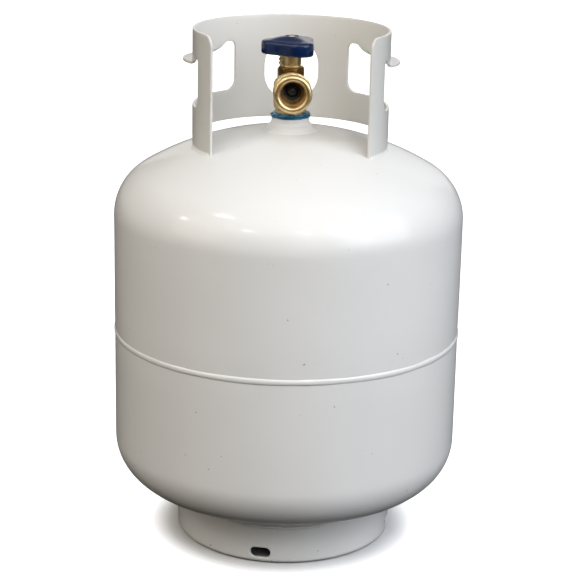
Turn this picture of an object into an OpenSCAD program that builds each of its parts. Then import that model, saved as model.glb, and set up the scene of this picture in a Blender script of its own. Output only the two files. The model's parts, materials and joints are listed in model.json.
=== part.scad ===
// Refillable 20 lb steel propane cylinder with a brass overfill-protected service valve.
// Millimetres, +Z up. The origin is on the tank's axis, on the surface that the foot ring stands on.
// The valve's mouth points towards -Y, in the front opening of the collar.

/* [Shell] */
// Outer radius of the shell
shell_r = 155; // [154:0.5:156]
// Thickness of the drawn steel
wall = 2; // [1.8:0.1:2.6]
// Height where the lower head's knuckle begins
lower_tangent_z = 91; // [90:0.5:92]
// Height where the upper head's knuckle begins
upper_tangent_z = 296; // [295:0.5:296]
// Knuckle radius of the lower head
lower_knuckle_r = 42.8; // [42:0.2:44]
// Crown radius of the lower head
lower_crown_r = 367; // [365:1:370]
// Knuckle radius of the upper head
upper_knuckle_r = 47.4; // [47:0.2:48]
// Crown radius of the upper head
upper_crown_r = 258; // [257:0.5:259]
// Height of the middle of the girth weld
girth_z = 191; // [180:1:200]
// Height of the girth weld bead
girth_bead_h = 6; // [5:0.5:7]

/* [Foot ring] */
// Outer radius of the foot ring
foot_r = 98; // [97:0.5:99]
// Thickness of the foot ring
foot_wall = 2.8; // [2.4:0.1:3.2]
// Width of each drain slot
slot_w = 18; // [14:1:20]
// Height of each drain slot
slot_h = 9.4; // [8:0.2:10]
// Height of the middle of the drain slots
slot_z = 10; // [9:0.5:12]

/* [Collar] */
// Outer radius of the collar
collar_r = 86; // [85.5:0.1:86.5]
// Thickness of the collar
collar_wall = 2.5; // [2.2:0.1:2.8]
// Height of the collar's top edge
collar_top_z = 460.8; // [458:0.2:462]
// Height of the collar's lower edge between its legs
collar_bottom_z = 367; // [366:0.2:368]
// Half of the angle that the front opening takes up
front_half_angle = 52; // [50:1:54]
// Height of the lower edge of the hand holds
hand_hold_z = 394.5; // [392:0.5:397]
// How far the rolled lip of a hand hold stands out from the collar
lip_reach = 10.5; // [9:0.5:11]

/* [Valve] */
// Angle that the valve is screwed round from straight ahead
valve_turn = 2.3; // [0:0.1:4]
// Height of the outlet's axis
outlet_z = 410.5; // [410:0.1:411]
// Distance from the valve's axis to the outlet's face
outlet_reach = 44; // [43.5:0.1:45]
// Outer radius of the outlet's coarse outside thread, 1-5/16 inch
outlet_thread_r = 16.67; // [16.5:0.01:16.8]
// Radius of the outlet's left-hand inside thread, at its crests
outlet_bore_r = 10.4; // [10.3:0.05:10.6]
// Width of the bonnet's hexagon across its flats
hex_flats = 20; // [19:0.5:20]
// Radius of the bonnet's round barrel
barrel_r = 8.5; // [8.3:0.1:8.6]
// Height that the seat lifts between shut and fully open
seat_lift = 3; // [2:0.5:3]

/* [Handwheel] */
// Distance from the stem to the middle of each lobe
lobe_offset = 15; // [14:0.5:15.5]
// Radius of each lobe
lobe_r = 11.5; // [10.5:0.5:12]
// Height of the handwheel's underside
wheel_bottom_z = 438.9; // [438.8:0.1:439.4]
// Height of the handwheel's crown
wheel_top_z = 454.3; // [453.8:0.1:454.6]

/* [Inside the tank] */
// Length of the fixed liquid level tube
dip_tube_l = 84; // [70:1:100]
// Length of the float
float_l = 46; // [40:1:50]
// Radius of the float, which has to pass through the boss
float_r = 10; // [9:0.5:11]
// Distance from the float arm's pivot to the float's near end
arm_l = 34; // [30:1:40]
// Angle that the float arm hangs down when the tank is empty
arm_droop = 30; // [25:1:32]

/* [Hidden] */

$fn = 96;
// Facets of the big round sheets
sheet_fn = 180;
// Clearance between a turning or sliding pair
run = 0.05;
// A distance that reaches past every solid
far = 400;
// How far a cutter reaches past a face
cut = 1;
// Small step that keeps the faces of neighbouring cutters from lying in one plane
slip = 0.03;

// Girth joint: the lower half is joggled inwards and slips inside the upper half
bead_low_z = girth_z - girth_bead_h / 2;
bead_high_z = girth_z + girth_bead_h / 2;
joggle_r = shell_r - wall - 0.1;
joggle_slope_h = 6;
joggle_l = 12;
bead_proud = 1.6;

// Heads
upper_rise = sqrt(pow(upper_crown_r - upper_knuckle_r, 2) - pow(shell_r - upper_knuckle_r, 2));
upper_crown_z = upper_tangent_z - upper_rise;

// Boss that the valve screws into
boss_r = 18.4;
boss_neck_r = 16.6;
boss_top_z = 383.5;
boss_bottom_z = 364;
shank_r = 12.9;
shank_taper = 0.6;

// Foot ring
foot_curl_r = 4;
slot_angle = -101.5;
foot_stitch_angle = 66;
foot_stitch_start = -128;
foot_weld_z = 35;

// Collar: angles run round the tank's axis from +X
collar_start = front_half_angle - 90;
collar_end = 270 - front_half_angle;
collar_corner_r = 9.5;
leg_inner = 6;
back_leg_half = 9;
hold_front = 21.5;
hold_back = 52.6;
hold_front_w = 13;
hold_back_w = 16;
notch_top_z = 438.6;
lip_root_z = 434.6;
lip_front = 13;
lip_back = 38;
lip_bend_r = 2;
back_hole_w = 50;
back_hole_h = 57;
back_hole_z = 411;

// Valve body
waist_r = 13.5;
waist_top_z = 391;
body_r = 15.3;
body_top_z = 418;
shoulder_r = 5;
spot_face_r = 12.2;
seat_z = 401;
seat_floor_z = 399.5;
inlet_r = 3.2;
bonnet_thread_r = 8.5;
bonnet_foot_z = 409.2;
gasket_h = 1;
hex_h = 9;
hex_corner_turn = -9;
barrel_top_z = wheel_bottom_z - 0.6;
cavity_top_z = 424.5;
carrier_r = 5.9;
carrier_flat = 4.9;
stem_r = 4;
stem_foot_r = 3;
stem_flange_r = 5.6;
o_ring_r = 0.7;

// Outlet: distances are measured inwards from its face
lead_in = 3;
bore_l = 12;
seat_cone_l = 3;
check_r = 7.6;
check_depth = 31;
outlet_neck_r = 14.2;
thread_l = 17;
rim_r = 2.6;
seal_l = 3.2;
poppet_flange_at = 21.4;
poppet_flange_l = 1.5;
guide_l = 2.4;
check_travel = 2.6;

// Relief valve, at the back of the body
relief_z = 395;
relief_boss_r = 8.6;
relief_mouth = 28;
relief_bore_r = 6.5;
relief_seat = 13;

// Bleeder screw, which opens the fixed liquid level tube
bleeder_x = -7.6;
bleeder_y = 9.6;
bleeder_head_r = 3.4;
bleeder_boss_r = 4.2;
bleeder_boss_z = 425;
bleeder_foot_z = 411;
tube_x = -4.1;
tube_y = 5.2;
tube_r = 1.6;
tube_seat_h = 8;

// Stop-fill mechanism
housing_r = 9;
spigot_r = 7;
spigot_h = 6;
pivot_x = 5.2;
pivot_z = 300;
pin_r = 1.25;
hub_r = 2.6;
arm_t = 3;
nose_r = 2.4;
nose_lead = 5;
plunger_r = 4;
plunger_rod_r = 2.1;
plunger_gap = 0.35;
plunger_top_z = boss_bottom_z - 4.2;
port_z = boss_bottom_z - 9;
// Part-way up the housing: the floor that the plunger's rod passes through
floor_low_z = pivot_z + 10;
floor_high_z = pivot_z + 13;

// ---- outlines, drawn with the radius along x and the height along y ----

module band(r_in, r_out, z_low, z_high) {
    translate([r_in, z_low]) square([r_out - r_in, z_high - z_low]);
}

// Half of a domed head: a crown of one radius that runs into a tighter knuckle
module head(side_r, knuckle_r, crown_r) {
    rise = sqrt(pow(crown_r - knuckle_r, 2) - pow(side_r - knuckle_r, 2));
    spread = tan(atan2(side_r - knuckle_r, rise));
    intersection() {
        translate([0, -rise]) circle(crown_r, $fn = 2 * sheet_fn);
        polygon([[0, -rise], [0, far - rise], [far * spread, far - rise]]);
    }
    translate([side_r - knuckle_r, 0]) circle(knuckle_r, $fn = sheet_fn);
}

// The whole tank's outline, drawn in by the given depth
module tank_outline(depth) {
    translate([0, upper_tangent_z])
        head(shell_r - depth, upper_knuckle_r - depth, upper_crown_r - depth);
    translate([0, lower_tangent_z]) mirror([0, 1])
        head(shell_r - depth, lower_knuckle_r - depth, lower_crown_r - depth);
    band(0, shell_r - depth, lower_tangent_z, upper_tangent_z);
}

module shell_outline(z_low, z_high, hole_r) {
    intersection() {
        difference() {
            tank_outline(0);
            tank_outline(wall);
        }
        band(hole_r, far, z_low, z_high);
    }
}

// ---- shapes that repeat ----

module rounded_rectangle(w, z_low, z_high, r) {
    translate([-w / 2, z_low + r]) square([w, z_high - z_low - 2 * r]);
    translate([r - w / 2, z_low]) square([w - 2 * r, z_high - z_low]);
    for (x = [r - w / 2, w / 2 - r], z = [z_low + r, z_high - r]) translate([x, z]) circle(r);
}

// Children are outlines in a sheet that faces outwards at the given angle round the axis
module through_sheet(angle, sheet_r) {
    depth = 15;
    rotate([0, 0, angle]) translate([sheet_r - depth, 0, 0]) rotate([90, 0, 90])
        linear_extrude(height = 2 * depth) children();
}

module sector(from, to, z_low, z_high, r = collar_r) {
    rotate([0, 0, from]) rotate_extrude(angle = to - from, $fn = sheet_fn)
        band(r - 15, r + 15, z_low, z_high);
}

// A weld bead that runs round the axis between two angles
module bead(r, z, bead_r, from, to) {
    rotate([0, 0, from]) rotate_extrude(angle = to - from, $fn = sheet_fn)
        translate([r, z]) circle(bead_r, $fn = 32);
}

// The solid crown of the upper head, which the collar and its welds sit on
module crown() {
    at_z(upper_crown_z) sphere(upper_crown_r, $fn = sheet_fn);
}

module on_valve() {
    rotate([0, 0, valve_turn]) children();
}

// Children are drawn along +Z from the valve's axis, and point out of the outlet
module along_outlet() {
    on_valve() translate([0, 0, outlet_z]) rotate([90, 0, 0]) children();
}

// Children are drawn along +Z from the valve's axis, and point out of the relief valve
module along_relief() {
    on_valve() translate([0, 0, relief_z]) rotate([-90, 0, 0]) children();
}

module at_z(z) {
    translate([0, 0, z]) children();
}

module o_ring(r, z) {
    rotate_extrude() translate([r, z]) circle(o_ring_r, $fn = 24);
}

// A tube swept along a helix about +Z
module coil_spring(r, wire_r, length, turns) {
    sides = 8;
    per_turn = 20;
    steps = turns * per_turn;
    climb = length - 2 * wire_r;
    points = [for (i = [0:steps], k = [0:sides - 1])
        let (a = 360 * i / per_turn, b = 360 * k / sides, ring_r = r + wire_r * cos(b))
        [ring_r * cos(a), ring_r * sin(a), wire_r + climb * i / steps + wire_r * sin(b)]];
    walls = [for (i = [0:steps - 1], k = [0:sides - 1])
        let (n = (k + 1) % sides)
        [i * sides + k, (i + 1) * sides + k, (i + 1) * sides + n, i * sides + n]];
    near_end = [[for (k = [0:sides - 1]) k]];
    far_end = [[for (k = [0:sides - 1]) steps * sides + sides - 1 - k]];
    polyhedron(points, concat(walls, near_end, far_end));
}

// ---- shell ----

module lower_shell() {
    slope_low_z = bead_low_z;
    slope_high_z = bead_low_z + joggle_slope_h;
    color("#ebebe7") rotate_extrude($fn = sheet_fn) {
        shell_outline(0, bead_low_z, 0);
        polygon([[shell_r - wall, slope_low_z - wall], [shell_r - wall, slope_low_z],
            [joggle_r, slope_low_z], [joggle_r, slope_high_z], [joggle_r - wall, slope_high_z]]);
        band(joggle_r - wall, joggle_r, slope_high_z, slope_high_z + joggle_l);
    }
}

module upper_shell() {
    color("#f2f2ee") rotate_extrude($fn = sheet_fn)
        shell_outline(bead_high_z, far, boss_r + 0.1);
}

module girth_weld() {
    half = girth_bead_h / 2;
    cap_r = (half * half + bead_proud * bead_proud) / (2 * bead_proud);
    color("#dededa") rotate_extrude($fn = sheet_fn) {
        band(joggle_r, shell_r, bead_low_z, bead_high_z);
        intersection() {
            translate([shell_r + bead_proud - cap_r, girth_z]) circle(cap_r, $fn = 96);
            band(shell_r - cut / 2, far, bead_low_z, bead_high_z);
        }
    }
}

// ---- foot ring ----

module foot_ring() {
    color("#dcdcd8") difference() {
        rotate_extrude($fn = sheet_fn) difference() {
            union() {
                band(foot_r - foot_wall, foot_r, foot_curl_r, 60);
                difference() {
                    translate([foot_r - foot_curl_r, foot_curl_r]) circle(foot_curl_r);
                    translate([foot_r - foot_curl_r, foot_curl_r]) circle(foot_curl_r - foot_wall);
                    band(0, foot_r - foot_curl_r, 0, 9);
                    band(0, far, foot_curl_r, 9);
                }
                band(foot_r - 2 * foot_curl_r, foot_r - foot_curl_r, 0, foot_wall);
            }
            tank_outline(0);
        }
        for (a = [0:90:270]) through_sheet(slot_angle + a, foot_r)
            rounded_rectangle(slot_w, slot_z - slot_h / 2, slot_z + slot_h / 2, slot_h / 2 - 0.1);
    }
}

module foot_welds() {
    weld_r = 6;
    color("#e0e0dc") for (a = [0:120:240])
        rotate([0, 0, foot_stitch_start + a])
            rotate_extrude(angle = foot_stitch_angle, $fn = sheet_fn) difference() {
                translate([foot_r - 0.6, foot_weld_z + weld_r]) circle(weld_r);
                band(0, foot_r, 0, 60);
                tank_outline(0);
            }
}

// ---- collar ----

module hand_hold() {
    front_turn = asin(hold_front_w / 2 / collar_r) - hold_front;
    back_turn = hold_back - asin(hold_back_w / 2 / collar_r);
    through_sheet(front_turn, collar_r)
        rounded_rectangle(hold_front_w, hand_hold_z - slip, notch_top_z, hold_front_w / 2 - 0.1);
    through_sheet(back_turn, collar_r)
        rounded_rectangle(hold_back_w, hand_hold_z - slip, notch_top_z, hold_back_w / 2 - 0.1);
    sector(front_turn, back_turn, hand_hold_z, lip_root_z);
}

// What is cut away beyond a front end of the collar, with the round top corner
module front_end_cut() {
    corner_z = collar_top_z - collar_corner_r + slip;
    through_sheet(collar_start + asin(collar_corner_r / collar_r), collar_r) difference() {
        translate([-40, 310]) square([40, 170]);
        translate([-collar_corner_r, 300]) square([collar_corner_r + 1, corner_z - 300]);
        translate([0, corner_z]) circle(collar_corner_r);
    }
}

// The edge of the hand hold, rolled outwards and cut to a half moon
module hand_hold_lip() {
    mid = (lip_back - lip_front) / 2;
    half_span = (lip_back + lip_front) / 2;
    moon_x = 43;
    moon_r = collar_r + lip_reach - moon_x;
    skin = 0.1;
    bend_x = collar_r + lip_bend_r;
    inner_bend_r = lip_bend_r + skin;
    outer_bend_r = lip_bend_r + collar_wall - skin;
    intersection() {
        rotate([0, 0, mid - half_span]) rotate_extrude(angle = 2 * half_span, $fn = sheet_fn) {
            difference() {
                translate([bend_x, lip_root_z]) circle(outer_bend_r);
                translate([bend_x, lip_root_z]) circle(inner_bend_r);
                band(bend_x, far, 0, 2 * far);
                band(0, far, lip_root_z, 2 * far);
            }
            band(bend_x - outer_bend_r, bend_x - inner_bend_r, lip_root_z, lip_root_z + 1);
            band(bend_x, collar_r + lip_reach + 1, lip_root_z - outer_bend_r, lip_root_z - inner_bend_r);
        }
        rotate([0, 0, mid]) translate([moon_x, 0, hand_hold_z]) cylinder(h = 60, r = moon_r);
    }
}

module collar() {
    under_z = 330;
    leg_gap_r = 3.5;
    leg_turn = asin(leg_gap_r / collar_r);
    gap_from = leg_turn - leg_inner;
    gap_to = 90 - back_leg_half - leg_turn;
    color("#e9e7e0") {
        difference() {
            rotate_extrude($fn = sheet_fn)
                band(collar_r - collar_wall, collar_r, under_z, collar_top_z);
            sector(collar_end + 9, 360 + collar_start - 9, under_z - cut, collar_top_z + cut);
            through_sheet(90, collar_r) rounded_rectangle(back_hole_w,
                back_hole_z - back_hole_h / 2, back_hole_z + back_hole_h / 2, back_hole_w / 2 - 0.2);
            for (side = [0, 1]) mirror([side, 0, 0]) {
                front_end_cut();
                hand_hold();
            }
            for (from = [gap_from, 180 - gap_to])
                sector(from, from + gap_to - gap_from, under_z - cut, collar_bottom_z);
            for (a = [gap_from, gap_to, 180 - gap_to, 180 - gap_from]) through_sheet(a, collar_r)
                rounded_rectangle(2 * leg_gap_r, under_z - 10, collar_bottom_z + slip,
                    leg_gap_r - 0.1);
            crown();
        }
        hand_hold_lip();
        mirror([1, 0, 0]) hand_hold_lip();
    }
}

module collar_welds() {
    color("#e4e2dc") difference() {
        for (spot = [[collar_start + 3, -leg_inner - 4], [180 + leg_inner + 4, collar_end - 3],
            [90 - back_leg_half + 2, 90 + back_leg_half - 2]])
            bead(collar_r + 0.6, 359.6, 2.8, spot[0], spot[1]);
        crown();
        at_z(300) cylinder(h = 200, r = collar_r, $fn = sheet_fn);
    }
}

// ---- boss ----

module valve_boss() {
    color("#e8e8e4") difference() {
        union() {
            at_z(boss_bottom_z) cylinder(h = 377 - boss_bottom_z, r = boss_r);
            at_z(377) cylinder(h = 2, r1 = boss_r, r2 = boss_neck_r);
            at_z(379) cylinder(h = boss_top_z - 379, r = boss_neck_r);
        }
        at_z(boss_bottom_z - cut) cylinder(h = boss_top_z - boss_bottom_z + 2 * cut,
            r1 = shank_r + run - shank_taper, r2 = shank_r + run);
    }
}

module boss_weld() {
    color("#e2e2de") rotate_extrude() difference() {
        translate([boss_r + 1.6, 371.6]) circle(5.6);
        band(0, boss_r, 300, 400);
        tank_outline(0);
    }
}

// ---- valve body ----

module outlet_outside() {
    face = outlet_reach;
    cylinder(h = face - thread_l + cut, r = outlet_neck_r);
    rotate_extrude() {
        band(0, outlet_thread_r, face - thread_l, face - rim_r);
        band(0, outlet_thread_r - rim_r, face - thread_l, face);
        translate([outlet_thread_r - rim_r, face - rim_r]) circle(rim_r);
    }
}

module outlet_inside() {
    face = outlet_reach;
    at_z(face - lead_in) cylinder(h = lead_in + cut, r1 = outlet_bore_r,
        r2 = outlet_bore_r + 1.4 * (lead_in + cut) / lead_in);
    at_z(face - lead_in - bore_l) cylinder(h = bore_l, r = outlet_bore_r);
    at_z(face - lead_in - bore_l - seat_cone_l)
        cylinder(h = seat_cone_l, r1 = check_r, r2 = outlet_bore_r);
    at_z(face - check_depth) cylinder(h = check_depth - lead_in - bore_l, r = check_r);
}

module valve_body() {
    relief_wall = relief_mouth - relief_seat;
    color("#b3904e") difference() {
        union() {
            at_z(boss_bottom_z) cylinder(h = boss_top_z - boss_bottom_z,
                r1 = shank_r - shank_taper, r2 = shank_r);
            at_z(boss_top_z) cylinder(h = waist_top_z - boss_top_z, r = waist_r);
            rotate_extrude() {
                band(0, body_r, waist_top_z - 1, body_top_z - shoulder_r);
                band(0, body_r - shoulder_r, waist_top_z, body_top_z);
                translate([body_r - shoulder_r, body_top_z - shoulder_r]) circle(shoulder_r);
            }
            difference() {
                along_outlet() outlet_outside();
                at_z(body_top_z) cylinder(h = 40, r = spot_face_r);
            }
            along_relief() cylinder(h = relief_mouth, r = relief_boss_r);
            on_valve() translate([bleeder_x, bleeder_y, waist_top_z])
                cylinder(h = bleeder_boss_z - waist_top_z, r = bleeder_boss_r);
        }
        along_outlet() outlet_inside();
        // gas way: up the shank to the seat, round the seat and out to the outlet
        at_z(boss_bottom_z - cut) cylinder(h = far, r = inlet_r);
        difference() {
            at_z(seat_floor_z) cylinder(h = far, r = bonnet_thread_r - 0.5);
            at_z(seat_floor_z - cut) cylinder(h = seat_z - seat_floor_z + cut, r = inlet_r + 1.4);
        }
        at_z(bonnet_foot_z - 0.2) cylinder(h = far, r = bonnet_thread_r + run);
        on_valve() at_z(406.2) rotate([90, 0, 0])
            cylinder(h = outlet_reach - check_depth + cut, r = 2.9);
        // spigot that the stop-fill housing is pressed over
        at_z(boss_bottom_z - cut) difference() {
            cylinder(h = spigot_h + cut, r = far);
            cylinder(h = spigot_h + cut, r = spigot_r);
        }
        along_relief() cylinder(h = relief_seat + cut, r = 2);
        along_relief() at_z(relief_seat) cylinder(h = relief_wall + cut, r = relief_bore_r);
        on_valve() bleeder_way();
    }
}

// The screw's hole, and the slanting way down to the fixed liquid level tube
module bleeder_way() {
    low = [tube_x, tube_y, 380];
    high = [bleeder_x, bleeder_y, 413];
    way = high - low;
    translate([bleeder_x, bleeder_y, bleeder_foot_z]) cylinder(h = 20, r = 2 + run);
    translate(low) rotate([0, acos(way[2] / norm(way)), atan2(way[1], way[0])])
        cylinder(h = norm(way), r = 0.8);
    translate([tube_x, tube_y, boss_bottom_z - cut])
        cylinder(h = tube_seat_h + cut, r = tube_r);
    translate([tube_x, tube_y, boss_bottom_z + spigot_h]) cylinder(h = 12, r = 0.8);
}

module thread_sealant() {
    low = boss_top_z;
    color("#10618c") difference() {
        rotate_extrude() difference() {
            union() {
                band(waist_r, boss_neck_r - 1, low, low + 4.6);
                for (z = [1.3, 3.1]) translate([boss_neck_r - 1, low + z]) circle(1.5, $fn = 32);
            }
            band(0, waist_r, 0, far * 2);
            band(0, far, 0, low);
        }
        along_relief() cylinder(h = relief_mouth, r = relief_boss_r);
    }
}

// ---- bonnet and stem ----

module bonnet() {
    hex_low_z = body_top_z + gasket_h;
    color("#8a6a36") difference() {
        union() {
            at_z(bonnet_foot_z) cylinder(h = hex_low_z - bonnet_foot_z, r = bonnet_thread_r);
            rotate([0, 0, hex_corner_turn]) at_z(hex_low_z) intersection() {
                cylinder(h = hex_h, r = hex_flats / sqrt(3), $fn = 6);
                cylinder(h = hex_h, r1 = hex_flats / 2 + 3.5, r2 = hex_flats / 2 + 0.9);
            }
            at_z(hex_low_z + 1) cylinder(h = barrel_top_z - hex_low_z - 1, r = barrel_r);
        }
        at_z(bonnet_foot_z - cut) intersection() {
            cylinder(h = cavity_top_z - bonnet_foot_z + cut, r = carrier_r + run);
            translate([-carrier_flat - run, -far / 2, 0])
                cube([2 * (carrier_flat + run), far, cavity_top_z - bonnet_foot_z + cut - 3.4]);
        }
        at_z(cavity_top_z - 3.4) cylinder(h = 3.4, r = carrier_r + run);
        at_z(cavity_top_z - cut) cylinder(h = far, r = stem_r + run);
        // clearance round the bleeder's boss
        on_valve() translate([bleeder_x, bleeder_y, hex_low_z - cut])
            cylinder(h = 30, r = bleeder_boss_r + 0.3);
    }
}

module bonnet_gasket() {
    color("#9c4a2c") difference() {
        at_z(body_top_z) cylinder(h = gasket_h, r = 9.9);
        at_z(body_top_z - cut) cylinder(h = gasket_h + 2 * cut, r = bonnet_thread_r + run);
        on_valve() translate([bleeder_x, bleeder_y, body_top_z - cut])
            cylinder(h = 30, r = bleeder_boss_r + 0.3);
    }
}

module stem() {
    foot_z = seat_z + 2.6 + seat_lift;
    flange_z = cavity_top_z - 2.6;
    square_z = wheel_bottom_z + 1.5;
    color("#a98445") difference() {
        union() {
            at_z(foot_z) cylinder(h = flange_z - foot_z, r = stem_foot_r);
            at_z(flange_z) cylinder(h = 1.8, r = stem_flange_r);
            at_z(flange_z + 1.8) cylinder(h = square_z - flange_z - 1.8, r = stem_r);
            at_z(square_z) intersection() {
                cylinder(h = 10, r = stem_r - 0.3);
                translate([-2.9, -far / 2, 0]) cube([5.8, far, 10]);
            }
        }
        for (z = stem_ring_z()) at_z(z) difference() {
            translate([0, 0, -0.85]) cylinder(h = 1.7, r = stem_r + 1);
            translate([0, 0, -0.85]) cylinder(h = 1.7, r = stem_r - 1.4);
        }
        at_z(square_z + 1) cylinder(h = 20, r = 1.55);
    }
}

function stem_ring_z() = [429, 433.5];

module stem_o_rings() {
    color("#1c1c1e") for (z = stem_ring_z()) o_ring(stem_r + 0.03 - o_ring_r, z);
}

module thrust_washer() {
    color("#d9d5c4") at_z(cavity_top_z - 0.75) difference() {
        cylinder(h = 0.7, r = stem_flange_r - 0.1);
        translate([0, 0, -cut]) cylinder(h = 3, r = stem_r);
    }
}

module seat_carrier() {
    color("#a07c3e") at_z(seat_z + 0.6) difference() {
        union() {
            cylinder(h = 3, r = 6.2);
            intersection() {
                cylinder(h = 14.6, r = carrier_r);
                translate([-carrier_flat, -far / 2, 0]) cube([2 * carrier_flat, far, 15]);
            }
        }
        translate([0, 0, 1.7]) cylinder(h = 20, r = stem_foot_r + run);
        translate([0, 0, -cut]) cylinder(h = 1.4 + cut, r = 5);
    }
}

module seat_disc() {
    color("#2a2a2c") at_z(seat_z + 0.03) cylinder(h = 0.6 + 1.4 - 0.03, r = 5);
}

// ---- handwheel ----

// A triangle with round corners
module lobed_outline(grow) {
    r = lobe_r + grow;
    flat_r = r - slip;
    flat_ends = [for (a = [60:120:300], turn = [-60, 60])
        [lobe_offset * cos(a) + flat_r * cos(a + turn),
            lobe_offset * sin(a) + flat_r * sin(a + turn)]];
    polygon(flat_ends);
    for (a = [60:120:300]) rotate(a) translate([lobe_offset, 0]) circle(r, $fn = 72);
}

module handwheel() {
    rim_h = 2;
    crown_h = 3.8;
    crown_r = lobe_offset + lobe_r;
    color("#1c2a66") difference() {
        at_z(wheel_bottom_z) union() {
            linear_extrude(height = rim_h) lobed_outline(-0.8);
            translate([0, 0, rim_h / 2]) linear_extrude(height = 20) lobed_outline(0);
        }
        at_z(wheel_top_z - crown_h) difference() {
            cylinder(h = 60, r = 60);
            cylinder(h = crown_h, r1 = crown_r, r2 = 5.4);
        }
        at_z(wheel_bottom_z - cut) intersection() {
            cylinder(h = 30, r = stem_r - 0.3 + run);
            translate([-2.9 - run, -far / 2, 0]) cube([5.8 + 2 * run, far, 30]);
        }
        at_z(wheel_bottom_z - cut) cylinder(h = 1.5 + cut + run, r = stem_r + run);
        at_z(wheel_top_z - 1.6) cylinder(h = 5, r = 5.4);
    }
}

module handwheel_washer() {
    color("#b9b4a4") at_z(wheel_top_z - 1.6) difference() {
        cylinder(h = 1, r = 5.2);
        translate([0, 0, -cut]) cylinder(h = 3, r = 1.6);
    }
}

module handwheel_screw() {
    head_z = wheel_top_z - 0.6;
    color("#a8a191") difference() {
        union() {
            at_z(head_z - 9) cylinder(h = 9.2, r = 1.5);
            intersection() {
                at_z(head_z) cylinder(h = 3, r = 3.1);
                at_z(head_z - 2.6) sphere(4.6);
            }
        }
        at_z(head_z + 1.2) translate([-4, -0.45, 0]) cube([8, 0.9, 2]);
    }
}

// ---- outlet check ----

module outlet_seal() {
    color("#18181a") along_outlet() at_z(outlet_reach - poppet_flange_at) difference() {
        cylinder(h = seal_l, r = check_r);
        translate([0, 0, -cut]) cylinder(h = seal_l + 2 * cut, r = 4.6);
    }
}

module check_poppet() {
    back = outlet_reach - poppet_flange_at - 0.04;
    color("#26262c") along_outlet() {
        at_z(back - poppet_flange_l) cylinder(h = poppet_flange_l, r = 6.4);
        at_z(back - cut / 2) cylinder(h = 2.5 + cut / 2, r = 4.1);
        intersection() {
            at_z(back + 2.4) cylinder(h = 5, r = 4.1);
            at_z(back + 0.6) sphere(4.6);
        }
        at_z(outlet_reach - check_depth + check_travel + 0.3)
            cylinder(h = back - poppet_flange_l / 2 - outlet_reach + check_depth - check_travel - 0.3,
                r = 1.8);
    }
}

module check_spring() {
    back = outlet_reach - poppet_flange_at - 0.04 - poppet_flange_l;
    seat = outlet_reach - check_depth + guide_l;
    color("#9a9a9a") along_outlet() at_z(seat) coil_spring(4.2, 0.35, back - seat, 2.5);
}

module check_guide() {
    color("#c8b274") along_outlet() at_z(outlet_reach - check_depth) difference() {
        cylinder(h = guide_l, r = check_r - 0.02);
        translate([0, 0, -cut]) cylinder(h = 9, r = 1.8 + run);
        for (a = [0:60:300]) rotate([0, 0, a]) translate([5.2, 0, -cut]) cylinder(h = 9, r = 1.3);
    }
}

// ---- relief valve ----

module relief_disc() {
    color("#1e1e20") along_relief() at_z(relief_seat + 0.04) cylinder(h = 1.96, r = 4.4);
}

module relief_poppet() {
    color("#b3904e") along_relief() {
        at_z(relief_seat + 2) cylinder(h = 2, r = relief_bore_r - run);
        at_z(relief_seat + 3.5) cylinder(h = 8.3, r = 1.7);
    }
}

module relief_spring() {
    low = relief_seat + 4;
    high = relief_mouth - 3.4;
    color("#9a9a9a") along_relief() at_z(low) coil_spring(4.2, 0.6, high - low, 4);
}

module relief_retainer() {
    color("#c2a45e") along_relief() at_z(relief_mouth - 3.4) difference() {
        cylinder(h = 3, r = relief_bore_r - 0.02);
        translate([0, 0, -cut]) cylinder(h = 9, r = 1.7 + run);
        for (a = [0:60:300]) rotate([0, 0, a]) translate([4.3, 0, -cut]) cylinder(h = 9, r = 1.1);
    }
}

module relief_cap() {
    color("#c9a227") along_relief() difference() {
        at_z(relief_mouth - 5) cylinder(h = 6.6, r = relief_boss_r + 1.2);
        at_z(relief_mouth - 5 - cut) cylinder(h = 5 + cut, r = relief_boss_r);
    }
}

// ---- bleeder ----

module bleeder_screw() {
    head_z = 427.2;
    color("#c0a25c") on_valve() translate([bleeder_x, bleeder_y, 0]) difference() {
        union() {
            at_z(bleeder_foot_z + 2) cylinder(h = 15, r = 2);
            at_z(bleeder_foot_z + 0.8) cylinder(h = 1.3, r1 = 1, r2 = 2);
            at_z(425.5) cylinder(h = 2, r = 2);
            at_z(head_z) cylinder(h = 10, r = bleeder_head_r - 0.9);
            for (k = [0:2]) at_z(head_z + 0.4 + 3.6 * k) rotate_extrude()
                translate([bleeder_head_r - 1.3, 1]) circle(1.3, $fn = 32);
        }
        at_z(head_z + 8.8) translate([-5, -0.5, 0]) cube([10, 1, 5]);
        at_z(425.9) difference() {
            translate([0, 0, -0.7]) cylinder(h = 1.4, r = 4);
            translate([0, 0, -0.7]) cylinder(h = 1.4, r = 1.5);
        }
    }
}

module bleeder_o_ring() {
    color("#1c1c1e") on_valve() translate([bleeder_x, bleeder_y, 425.9]) rotate_extrude()
        translate([2.1, 0]) circle(0.6, $fn = 24);
}

// ---- inside the tank ----

module dip_tube() {
    color("#b3904e") on_valve()
        translate([tube_x, tube_y, boss_bottom_z + tube_seat_h - 1 - dip_tube_l]) difference() {
            cylinder(h = dip_tube_l, r = tube_r);
            translate([0, 0, -cut]) cylinder(h = dip_tube_l + 2 * cut, r = 0.9);
        }
}

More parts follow.
